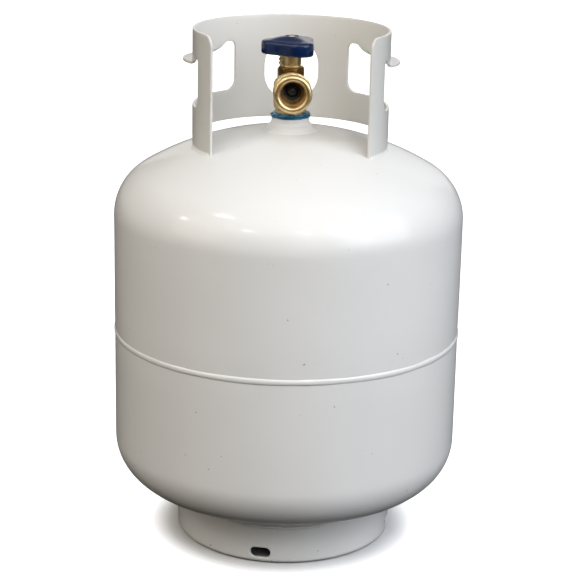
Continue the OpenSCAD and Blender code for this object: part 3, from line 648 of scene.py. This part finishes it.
collar_mid = COLLAR_R - COLLAR_WALL / 2
FOLD_Z = 434.6
FOLD_R = 3.25
HOLD_LOW = 394.5
NOTCH_TOP = 438.5


def on_arc(degrees):
    return radians(degrees) * collar_mid


def in_lip(s, z):
    degrees = math.degrees(s / collar_mid)
    across = degrees if degrees < 90 else 180 - degrees
    return 402 < z < FOLD_Z and -20.5 < across < 42.5


def collar_place(s, z, depth):
    """The tongue left in each hand hold is folded outwards into a lip."""
    angle = s / collar_mid
    r, h, nr, nz = collar_mid, z, 1.0, 0.0
    if in_lip(s, z):
        down = FOLD_Z - z
        bend = min(down / FOLD_R, pi / 2)
        flat = max(0.0, down - FOLD_R * pi / 2)
        r = collar_mid + FOLD_R * (1 - cos(bend)) + flat
        h = FOLD_Z - FOLD_R * sin(bend)
        nr, nz = cos(bend), sin(bend)
    return polar(r + depth * nr, angle, h + depth * nz)


def hand_hold(mirrored):
    """Outline of a hand hold, round the tongue that becomes its lip."""
    tongue = []
    s_front, s_back = on_arc(-13.0), on_arc(38.0)
    half, reach = (s_back - s_front) / 2, 13.4
    r = (half * half + reach * reach) / (2 * reach)
    mid = (s_front + s_back) / 2
    spread = math.asin(half / r)
    for k in range(31):
        a = spread - 2 * spread * k / 30
        tongue.append((mid + r * sin(a), FOLD_Z - reach + r * (1 - cos(a)), 0))
    tongue[-1] = (tongue[-1][0], tongue[-1][1], 2.5)
    corners = [(on_arc(-21.5), HOLD_LOW, 10.0), (on_arc(52.6), HOLD_LOW, 10.0), (on_arc(52.6), NOTCH_TOP, 6.4),
               (on_arc(45.6), NOTCH_TOP, 4.0), (on_arc(41.2), FOLD_Z - 0.6, 4.0)]
    corners += tongue[2:]
    corners += [(on_arc(-15.2), FOLD_Z + 0.2, 1.6), (on_arc(-17.0), NOTCH_TOP - 0.6, 2.0),
                (on_arc(-21.5), NOTCH_TOP - 0.6, 4.0)]
    loop = rounded(corners, 0.7)
    if mirrored:
        loop = [np.array([on_arc(180) - p[0], p[1]]) for p in loop]
    return resample(loop, 1.1)


def collar():
    foot = dome_z(85) - 0.6
    gap = 367.0
    outline = [(-38, foot, 0), (-6, foot, 0), (-6, gap, 3.4), (81, gap, 3.4), (81, foot, 0), (99, foot, 0),
               (99, gap, 3.4), (186, gap, 3.4), (186, foot, 0), (218, foot, 0), (218, COLLAR_TOP, 9.5),
               (-38, COLLAR_TOP, 9.5)]
    outer = resample(rounded([(on_arc(a), z, r) for a, z, r in outline], 0.9), 1.5)
    mid, half_wide = on_arc(90), 24.9
    back = box_corners(mid - half_wide, mid + half_wide, 411 - 28.5, 411 + 28.5, 24.7)
    back = resample(rounded(back, 1.0), 1.2)
    extra = []
    for low_s, high_s in ((on_arc(-13), on_arc(40)), (on_arc(140), on_arc(193))):
        for s in np.arange(low_s, high_s, 1.5):
            for z in np.arange(FOLD_Z - 13, FOLD_Z + 1.0, 0.8):
                extra.append((s, z))
    return sheet_solid(outer, [hand_hold(False), hand_hold(True), back], collar_place,
                       COLLAR_WALL, 0.65, (3.2, 3.6), extra)


# The collar takes the darker enamel, painted shade for its self-shadow.
piece("collar_sheet", [collar()], replaces=("collar",), sharp=50, look="collar_enamel_painted_shade")


def leg_weld(start, end, seed):
    """A fillet between a leg's outer face and the dome, wrapped a little round its ends."""
    points = []
    rows, size = 90, 9
    for i in range(rows + 1):
        t = i / rows
        a = radians(start + (end - start) * t)
        grow = smooth_step(min(t, 1 - t) / 0.07) ** 0.5 * 0.95 + 0.05
        x, y, _ = polar(COLLAR_R, a, 0)
        size_by = grow * (1 + 0.20 * wobble(x, y, 0, 0.20, seed) + 0.06 * sin(a * 300))
        tall, wide = 3.2 * size_by, 3.9 * size_by
        points.append(polar(COLLAR_R - 1.0, a, dome_z(85) - 1.2))
        for k in range(size - 1):
            u = k / (size - 2)
            bulge = 0.42 * sin(pi * u) * size_by
            r = COLLAR_R - 0.15 + wide * (1 - cos(u * pi / 2)) - bulge * 0.3
            points.append(polar(r, a, dome_z(r) - 0.35 + tall * (1 - sin(u * pi / 2))))
    return points, capped_faces(rows + 1, size)


piece("collar_leg_welds", [leg_weld(-37.6, -8, 1.0), leg_weld(188, 217.6, 2.0), leg_weld(82.5, 97.5, 3.0)],
      replaces=("collar_welds",), sharp=60)


# ---------------------------------------------------------------- boss

boss_profile = resample(rounded([(13.2, 364, 0.3), (18.4, 364, 0.5), (18.4, 377.0, 2.0), (16.7, 379.4, 2.5),
                                 (16.5, 383.5, 1.1), (13.0, 383.5, 0.6)], 0.3), 1.2)
piece("boss_turned", [revolve(boss_profile, 120)], replaces=("valve_boss",))


def boss_weld_shape(angle, r, z):
    if r < 18.5:
        return r, z
    x, y, _ = polar(22, angle, 0)
    lift = 0.35 * wobble(x, y, 0, 0.16, 5.0) + 0.10 * sin(angle * 62)
    return r + lift, z + lift * 0.3


boss_bead = [(18.2, dome_z(18) - 1.5), (18.2, 377.2), (18.9, 377.0), (19.9, 376.0), (21.0, 374.6),
             (22.3, 373.4), (23.6, 372.5), (24.8, dome_z(24.8) - 0.4), (24.2, dome_z(24) - 1.6)]
piece("boss_weld_bead", [revolve(boss_bead, 160, warp=boss_weld_shape)], replaces=("boss_weld",), sharp=60)


# ---------------------------------------------------------------- thread sealant

def sealant_shape(angle, r, z):
    """Paste and tape squeezed out of the joint: folds that run round, torn here and there."""
    if r < 14:
        return r, z
    x, y, _ = polar(17, angle, 0)
    fold = wobble(x, y, z * 2.4, 0.20, 1.0) + 0.6 * wobble(x, y, z * 3.0, 0.5, 7.0)
    lift = 0.35 * wobble(x, y, 0, 0.12, 11.0)
    tilt = -0.35 * cos(angle - radians(200))
    return min(r + 0.95 * fold + 0.1, 17.9), z + 0.8 * lift + tilt * (z - 383.6) / 4


sealant_profile = resample([(13.6, 383.5), (15.4, 383.3), (16.6, 383.5), (17.2, 384.1), (16.7, 384.9), (16.2, 385.3),
                            (17.0, 385.8), (16.7, 386.7), (15.6, 387.4), (14.3, 387.8), (13.6, 387.7)], 0.55)
piece("sealant_squeeze", [revolve(sealant_profile, 200, warp=sealant_shape)],
      replaces=("thread_sealant",), sharp=70)


# ---------------------------------------------------------------- valve body

def forged(parts, voxel, passes):
    """Fuses overlapping closed parts and softens their junctions, like a forging."""
    blank = bpy.data.objects.new("forging", welded_mesh("forging", parts, 1e-4))
    bpy.context.scene.collection.objects.link(blank)
    remesh = blank.modifiers.new("remesh", "REMESH")
    remesh.mode = "VOXEL"
    remesh.voxel_size = voxel
    remesh.use_smooth_shade = True
    smooth = blank.modifiers.new("smooth", "SMOOTH")
    smooth.factor = 0.5
    smooth.iterations = passes
    done = bpy.data.meshes.new_from_object(blank.evaluated_get(bpy.context.evaluated_depsgraph_get()))
    shape = [tuple(v.co) for v in done.vertices], [tuple(p.vertices) for p in done.polygons]
    bpy.data.objects.remove(blank)
    return shape


def solid_round(outline, step=2.0):
    return revolve(resample(outline, step), 72)


def cylinder(r, low, high, step=2.0):
    return solid_round([(0.001, low), (r, low), (r, high), (0.001, high)], step)


body_core = solid_round([(0.001, 383.6), (13.5, 383.6), (13.5, 390.0), (15.1, 393.0), (15.4, 396), (15.4, 411.5),
                         (14.9, 414.2), (13.4, 416.6), (11.0, 417.8), (0.001, 417.8)])
outlet_neck = moved(cylinder(14.3, 0, 27.5), outlet_frame)
relief_neck = moved(cylinder(8.7, 0, 25.0), relief_frame)
bleeder_neck = moved(cylinder(4.3, 391, 424.6, 1.5), bleeder_frame)


def from_bleeder(x, y):
    """A point's offset and distance from the bleeder screw's axis."""
    dx, dy = x - bleeder_frame.translation.x, y - bleeder_frame.translation.y
    return dx, dy, math.hypot(dx, dy)


def spot_faced(shape):
    """Cuts the outlet's neck flat round the bonnet."""
    points = []
    for x, y, z in shape[0]:
        if math.hypot(x, y) < SPOT_R and from_bleeder(x, y)[2] >= 5.2:
            z = min(z, SPOT_Z)
        points.append((x, y, z))
    return points, shape[1]


body_forging = spot_faced(forged([body_core, outlet_neck, relief_neck, bleeder_neck], 0.55, 9))
hidden_shank = solid_round([(3.2, 364.2), (6.9, 364.2), (6.9, 370), (12.4, 370), (12.8, 384.6), (3.2, 384.6)], 2.5)

OUT_PITCH, OUT_CREST, OUT_ROOT = 4.233, 16.67, 15.35
IN_PITCH, IN_CREST = 1.814, 10.4


def tooth(phase, flat=0.34, slope=0.16):
    """0 in the thread's root, 1 on its crest."""
    phase %= 1.0
    if phase < flat:
        return 1.0
    if phase < flat + slope:
        return 1 - smooth_step((phase - flat) / slope)
    if phase > 1 - slope:
        return smooth_step((phase - 1 + slope) / slope)
    return 0.0


def outlet_end(segments=168):
    """The outlet's end, from its neck over the coarse thread and the rim to the bottom of its bore."""
    def outside(angle, d):
        fade = smooth_step((d - 28.4) / 2.2) * smooth_step((40.2 - d) / 1.6)
        return OUT_CREST - fade * (OUT_CREST - OUT_ROOT) * (1 - tooth(d / OUT_PITCH - angle / TAU))

    def bore(angle, d):
        fade = smooth_step((40.2 - d) / 1.4) * smooth_step((d - 29.2) / 1.2)
        return IN_CREST + fade * 0.75 * (1 - tooth(d / IN_PITCH + angle / TAU, 0.12, 0.40))

    rows = [(13.0, 26.9, None), (14.2, 26.95, None), (16.2, 26.95, None), (16.6, 27.25, None)]
    rows += [(OUT_CREST, d, outside) for d in np.arange(27.5, 41.0, 0.26)]
    rows += [(r, z, None) for r, z in arc(13.75, 41.05, 2.92, 0, 90, 9)]
    for a in range(8, 91, 8):
        rows.append((10.42 + 3.33 * (1 - sin(radians(a))), 40.25 + 3.72 * cos(radians(a)), None))
    rows += [(IN_CREST, d, bore) for d in np.arange(40.0, 29.0, -0.22)]
    rows += [(IN_CREST, 28.9, None), (10.2, 28.4, None), (7.75, 26.2, None), (7.6, 25.8, None), (7.6, 13.1, None),
             (7.3, 12.8, None), (3.0, 12.8, None)]
    points = [polar(shape(a, d) if shape else r, a, d) for a in turned(segments) for r, d, shape in rows]
    return points, grid_faces(segments, len(rows), wrap_size=False)


outlet_part = moved(outlet_end(), outlet_frame)


def open_bore(shape):
    """Drops the forging's faces that would close the outlet's bore."""
    inverse = outlet_frame.inverted()
    local = [inverse @ Vector(p) for p in shape[0]]
    closing = [p.z > 26.0 and math.hypot(p.x, p.y) < 13.4 for p in local]
    return shape[0], [face for face in shape[1] if not all(closing[i] for i in face)]


relief_mouth = moved(revolve(resample(rounded([(6.5, 12.8, 0), (6.5, 28.0, 0.5), (8.6, 28.0, 0.6), (8.6, 22.0, 0.2),
                                               (8.0, 21.5, 0), (8.0, 12.8, 0)], 0.3), 1.5), 96), relief_frame)
bleeder_seat = moved(revolve(resample(rounded([(2.3, 419, 0), (4.2, 419, 0), (4.2, 425.0, 0.6), (2.3, 425.0, 0.3)],
                                              0.3), 1.2), 64), bleeder_frame)


# Faces inside the outlet's bore take the darker brass, painted shade for the recess.
def in_bore(middle):
    local = outlet_frame.inverted() @ middle
    return local.z > 12 and math.hypot(local.x, local.y) < 11.9


# The bore's faces get the darker brass as painted shade.
piece("valve_body_forged", [open_bore(body_forging), hidden_shank, outlet_part, relief_mouth, bleeder_seat],
      replaces=("valve_body",), sharp=40, second=("bore_brass_painted_shade", in_bore))


# ---------------------------------------------------------------- bonnet

def bonnet_hex(flats=20.0, z0=419.05, z1=428.0, turn=radians(-9.0)):
    """A hexagon with chamfered and slightly worn corners, standing on a thin round washer face."""
    layers = [(0.0, 1.2), (0.35, 0.35), (0.9, 0.0), (1.6, 0.0), (4.0, 0.0), (6.4, 0.0), (7.6, 0.0), (8.3, 0.45),
              (8.75, 1.0), (8.95, 1.7)]
    angles = turned(144)
    corner = flats / math.sqrt(3)
    rows = [[polar(8.2, a, z0) for a in angles]]
    for h, inset in layers:
        limit = corner - inset * 1.25 - 0.22
        rows.append([])
        for a in angles:
            r = flats / 2 / cos((a - turn) % (pi / 3) - pi / 6)
            soft = -math.log(math.exp(-8 * (r - corner)) + math.exp(-8 * (limit - corner))) / 8 + corner
            rows[-1].append(polar(min(soft, r), a, z0 + h))
    rows.append([polar(7.6, a, z1) for a in angles])
    points = []
    for x, y, z in sum(rows, []):
        dx, dy, away = from_bleeder(x, y)
        if away < BLEEDER_ROOM:
            x, y = x + dx * (BLEEDER_ROOM / away - 1), y + dy * (BLEEDER_ROOM / away - 1)
        points.append((x, y, z))
    return points, grid_faces(len(rows), len(angles), wrap_rows=False)


barrel_profile = resample(rounded([(4.1, 424.5, 0), (4.1, 438.3, 0.3), (7.7, 438.3, 0.5), (8.5, 437.5, 0.4),
                                   (8.5, 430.2, 0.3), (8.15, 429.8, 0.2), (8.15, 428.9, 0.2), (8.5, 428.4, 0.2),
                                   (8.5, 420.5, 0), (6.2, 420.5, 0), (6.2, 424.5, 0)], 0.25), 1.2)


def barrel_shape(angle, r, z):
    """The barrel is relieved where the bleeder screw stands."""
    away = from_bleeder(*polar(r, angle, z)[:2])[2]
    if away < BLEEDER_ROOM and z < 437:
        return r - (BLEEDER_ROOM - away), z
    return r, z


bonnet_bottom = solid_round([(6.0, 409.3), (8.5, 409.3), (8.5, 420), (6.0, 420)])
piece("bonnet_hexagon", [bonnet_hex(), bonnet_bottom], replaces=("bonnet",), sharp=28)
piece("bonnet_barrel", [revolve(barrel_profile, 128, warp=barrel_shape)], slot="brass", sharp=35)


# ---------------------------------------------------------------- handwheel

LOBE_AT, LOBE_R = 15.0, 11.5
SIXTH = radians(60)


def lobed_r(angle, inset=0.0, waist=0.55):
    """Radius of the handwheel's outline: three round lobes joined by faintly hollow sides."""
    r = LOBE_R - inset
    best = 0.0
    for k in range(3):
        d = (angle - (2 * k + 1) * SIXTH + pi) % TAU - pi
        across = LOBE_AT * sin(d)
        if abs(across) < r and cos(d) > -0.2:
            best = max(best, LOBE_AT * cos(d) + math.sqrt(r * r - across * across))
        e = (angle - 2 * k * SIXTH + pi) % TAU - pi
        if abs(e) < SIXTH:
            reach = (LOBE_AT * 0.5 + r) / cos(e)
            along = math.tan(e) * (LOBE_AT * 0.5 + r) / (LOBE_AT * sin(SIXTH))
            if abs(along) <= 1:
                best = max(best, reach - waist * cos(along * pi / 2) ** 2)
    return best


def handwheel():
    """Layers of the outline: rounded lower edge, drafted side, soft shoulder, crown, then back through the hub."""
    layers = [(439.6, 3.6), (439.1, 2.6), (438.9, 1.9), (438.95, 1.3), (439.2, 0.8), (439.7, 0.40), (440.5, 0.16),
              (442.5, 0.06), (446.5, 0.0), (448.3, 0.05), (449.2, 0.28), (449.85, 0.75), (450.3, 1.4), (450.6, 2.3),
              (450.9, 3.6)]
    hub = [(5.8, 454.2), (5.5, 454.15), (5.4, 453.8), (5.4, 452.9), (5.2, 452.7), (3.9, 452.7), (3.9, 440.6),
           (4.3, 440.2), (7.4, 440.0), (8.0, 440.4), (8.3, 442.0), (9.2, 443.6)]
    crown_low, crown_high, crown_r = 450.9, 454.05, 6.0
    angles = turned(216)
    points = [polar(lobed_r(a, inset), a, z) for z, inset in layers for a in angles]
    for share in (0.86, 0.70, 0.54, 0.38, 0.24, 0.12, 0.0):
        z = crown_low + (crown_high - crown_low) * (1 - smooth_step(share) * 0.55 - share * 0.45)
        points += [polar(crown_r + (lobed_r(a, 3.6) - crown_r) * share, a, z) for a in angles]
    points += [polar(r, a, z) for r, z in hub for a in angles]
    for z, inset in ((444.0, 5.2), (443.0, 3.5), (440.4, 3.1)):
        points += [polar(lobed_r(a, inset), a, z) for a in angles]
    return points, grid_faces(len(points) // len(angles), len(angles))


piece("handwheel_moulded", [handwheel()], body="spindle", replaces=("handwheel",), sharp=42)

washer_profile = resample(rounded([(1.7, 452.75, 0.1), (5.0, 452.75, 0.2), (5.2, 453.3, 0.2), (4.9, 453.7, 0.25),
                                   (1.7, 453.7, 0.1)], 0.2), 0.8)
piece("handwheel_washer_disc", [revolve(washer_profile, 96)], body="spindle", replaces=("handwheel_washer",))


def screw_head(turn=0.5, segments=96):
    """A cheese head with a cross recess."""
    rows = [(0.001, 455.38), (0.5, 455.36), (1.0, 455.30), (1.5, 455.20), (2.0, 455.02), (2.5, 454.72),
            (2.85, 454.35), (3.02, 454.0), (3.05, 453.75), (1.5, 453.75), (1.5, 444.9), (0.001, 444.9)]
    points = []
    for r, z in rows:
        for a in turned(segments):
            u, v, _ = polar(r, a - turn, z)
            in_cross = z > 454.3 and min(abs(u), abs(v)) < 0.5 and max(abs(u), abs(v)) < 1.9
            points.append(polar(r, a, z - 0.75 if in_cross else z))
    return points, grid_faces(len(rows), segments, wrap_rows=False)


piece("handwheel_screw_head", [screw_head()], body="spindle", replaces=("handwheel_screw",))


# ---------------------------------------------------------------- outlet check, relief cap, bleeder

seal_profile = resample(rounded([(4.7, 22.65, 0.3), (7.55, 22.65, 0.1), (7.55, 25.8, 0.5), (6.4, 25.8, 0.9),
                                 (4.7, 24.4, 0.8)], 0.25), 0.8)
piece("outlet_seal_ring", [moved(revolve(seal_profile, 96), outlet_frame)], replaces=("outlet_seal",), sharp=50)

nose_profile = [(0.001, 15.9), (1.8, 15.9), (1.8, 20.9), (6.3, 21.0), (6.4, 21.3), (6.4, 22.3), (6.2, 22.55),
                (4.1, 22.6), (4.1, 25.2), (3.95, 25.9), (3.6, 26.6), (3.0, 27.2), (2.2, 27.6), (1.2, 27.82),
                (0.001, 27.86)]
piece("check_nose", [moved(revolve(resample(nose_profile, 0.6, closed=False), 80, closed=False), outlet_frame)],
      body="check", replaces=("check_poppet",), sharp=50)

cap_profile = resample(rounded([(8.6, 23.0, 0.2), (9.8, 23.0, 0.4), (9.8, 24.6, 0.2), (9.3, 24.9, 0.2),
                                (9.3, 28.4, 1.4), (7.6, 29.6, 0.8), (0.01, 29.6, 0), (0.01, 28.1, 0),
                                (8.0, 28.1, 0.5), (8.6, 27.4, 0.3)], 0.3), 1.0)
piece("relief_dust_cap", [moved(revolve(cap_profile, 96), relief_frame)], replaces=("relief_cap",))


def bleeder_profile():
    """A shank, then a head of three round ribs."""
    out = [(0.001, 411.9), (1.0, 411.9), (2.0, 413.1), (2.0, 425.1), (1.55, 425.3), (1.55, 426.5), (2.0, 426.7),
           (2.5, 427.2)]
    for z in (427.7, 431.05, 434.4):
        out += [(2.1 + 1.28 * sin(radians(a)), z + 1.35 - 1.35 * cos(radians(a)))
                for a in range(12, 169, 12)]
        out += [(2.25, z + 3.0)]
    return out + [(2.2, 437.1), (0.001, 437.15)]


piece("bleeder_screw_turned", [moved(revolve(bleeder_profile(), 64, closed=False), bleeder_frame)],
      body="bleeder", replaces=("bleeder_screw",), sharp=45)


# ---------------------------------------------------------------- floor, light and camera

WORLD_LEFT, WORLD_RIGHT = (0.33, 0.315, 0.30), (0.06, 0.06, 0.065)
GLOW = 0.86


def camera_ray(tree):
    return tree.nodes.new("ShaderNodeLightPath").outputs["Is Camera Ray"]


def soft_world():
    """White behind the object, and a dim room, lighter on the left, for everything that the object reflects."""
    world = bpy.data.worlds.new("studio")
    world.use_nodes = True
    bpy.context.scene.world = world
    tree = world.node_tree
    where = tree.nodes.new("ShaderNodeTexCoord")
    axes = tree.nodes.new("ShaderNodeSeparateXYZ")
    tree.links.new(where.outputs["Generated"], axes.inputs["Vector"])
    shift = add(tree, "ShaderNodeMath", operation="MULTIPLY_ADD")
    tree.links.new(axes.outputs["X"], shift.inputs[0])
    shift.inputs[1].default_value = shift.inputs[2].default_value = 0.5
    across = ramp(tree, shift.outputs["Value"], [(0.0, WORLD_LEFT), (1.0, WORLD_RIGHT)])
    mix = add(tree, "ShaderNodeMix", data_type="RGBA")
    tree.links.new(camera_ray(tree), mix.inputs["Factor"])
    tree.links.new(across.outputs["Color"], mix.inputs[6])
    mix.inputs[7].default_value = (1.0, 1.0, 1.0, 1)
    tree.links.new(mix.outputs[2], tree.nodes["Background"].inputs["Color"])


def floor():
    """A pale floor. The camera sees it white, with an emission glow, painted light that hides the cast shadow except
    close round the foot. To the object's light it is nearly black, so it throws little light back.
    """
    bpy.ops.mesh.primitive_plane_add(size=14, location=(0, 0, -0.0004))
    plane = bpy.context.object
    plane.name = "floor"
    material = bpy.data.materials.new("floor")
    material.use_nodes = True
    tree = material.node_tree
    tree.nodes.clear()
    out = tree.nodes.new("ShaderNodeOutputMaterial")
    matt = add(tree, "ShaderNodeBsdfDiffuse", Color=(0.015, 0.013, 0.011, 1))
    white = add(tree, "ShaderNodeBsdfDiffuse", Color=(0.80, 0.80, 0.80, 1))
    glow = add(tree, "ShaderNodeEmission", Color=(1, 1, 1, 1))
    where = tree.nodes.new("ShaderNodeTexCoord")
    reach = add(tree, "ShaderNodeVectorMath", operation="LENGTH")
    tree.links.new(where.outputs["Object"], reach.inputs[0])
    # The painted glow fades out towards the foot, so the real cast shadow shows only there.
    strength = add(tree, "ShaderNodeMapRange", interpolation_type="SMOOTHSTEP")
    tree.links.new(reach.outputs["Value"], strength.inputs["Value"])
    for socket, value in (("From Min", 0.098), ("From Max", 0.135), ("To Min", 0.0), ("To Max", GLOW)):
        strength.inputs[socket].default_value = value
    tree.links.new(strength.outputs["Result"], glow.inputs["Strength"])
    both = tree.nodes.new("ShaderNodeAddShader")
    tree.links.new(white.outputs[0], both.inputs[0])
    tree.links.new(glow.outputs[0], both.inputs[1])
    mix = tree.nodes.new("ShaderNodeMixShader")
    tree.links.new(camera_ray(tree), mix.inputs["Fac"])
    tree.links.new(matt.outputs[0], mix.inputs[1])
    tree.links.new(both.outputs[0], mix.inputs[2])
    tree.links.new(mix.outputs[0], out.inputs["Surface"])
    plane.data.materials.append(material)


def area_light(name, at, target, size, watts, colour):
    data = bpy.data.lights.new(name, "AREA")
    data.shape = "RECTANGLE"
    data.size, data.size_y = size
    data.energy = watts
    data.color = colour
    lamp = bpy.data.objects.new(name, data)
    bpy.context.scene.collection.objects.link(lamp)
    lamp.location = at
    lamp.rotation_euler = (Vector(target) - Vector(at)).to_track_quat("-Z", "Y").to_euler()


def camera():
    """Looks 16.9 degrees down from the front, with the frame rolled by a little over a degree."""
    pitch, yaw, roll = radians(16.884), radians(0.03), radians(1.119)
    forward = Vector((sin(yaw) * cos(pitch), cos(yaw) * cos(pitch), -sin(pitch)))
    right = Vector((cos(yaw), -sin(yaw), 0))
    up = right.cross(forward)
    r = right * cos(roll) + up * sin(roll)
    u = up * cos(roll) - right * sin(roll)
    data = bpy.data.cameras.new("camera")
    data.sensor_width = 36.0
    data.lens = 110.616875
    data.clip_start, data.clip_end = 0.05, 40
    made = bpy.data.objects.new("camera", data)
    bpy.context.scene.collection.objects.link(made)
    made.matrix_world = Matrix((
        (r.x, u.x, -forward.x, 0.0), (r.y, u.y, -forward.y, -1.5283), (r.z, u.z, -forward.z, 0.690), (0, 0, 0, 1)))
    bpy.context.scene.camera = made


# name, place, aimed at, size, watts, colour
LIGHTS = [
    ("overhead", (0.0, -0.35, 2.3), (0, 0, 0.35), (2.2, 2.0), 4.0, (0.97, 0.98, 1.0)),
    ("overhead_front", (0.0, -1.7, 2.1), (0, 0, 0.3), (3.4, 1.5), 18.0, (1.0, 0.985, 0.97)),
    ("window", (2.3, -1.3, 1.6), (0, 0, 0.25), (2.6, 2.4), 61.0, (0.85, 0.91, 1.0)),
    ("window_front", (1.3, -2.5, 1.6), (0, 0, 0.25), (2.4, 1.6), 10.0, (1.0, 0.95, 0.97)),
    ("fill", (-2.3, -1.2, 1.5), (0, 0, 0.25), (1.8, 2.0), 17.0, (1.0, 0.90, 0.72)),
    ("behind", (0.3, 2.9, 1.1), (0, 0, 0.25), (2.6, 1.6), 8.0, (1.0, 0.99, 0.97)),
    ("lamp_1", (-3.0, -0.5, 2.3), (0, 0, 0.33), (0.26, 0.16), 4.2, (1, 1, 1)),
    ("lamp_2", (-1.35, -0.7, 2.5), (0, 0, 0.33), (0.50, 0.30), 5.0, (1, 1, 1)),
    ("lamp_3", (-1.4, -2.54, 2.5), (0, 0, 0.33), (0.42, 0.24), 4.2, (1, 1, 1)),
    ("lamp_4", (0.58, -2.7, 2.5), (0, 0, 0.33), (0.42, 0.24), 4.2, (1, 1, 1)),
    ("lamp_5", (2.62, -1.0, 2.5), (0, 0, 0.33), (0.50, 0.34), 6.0, (1, 1, 1)),
    ("lamp_6", (3.9, -3.0, 1.85), (0, 0, 0.31), (0.50, 0.30), 7.0, (1, 1, 1)),
]
soft_world()
floor()
for light in LIGHTS:
    area_light(*light)
camera()
view = bpy.context.scene.view_settings
view.view_transform = "Standard"
view.look = "None"
view.exposure = 0.13
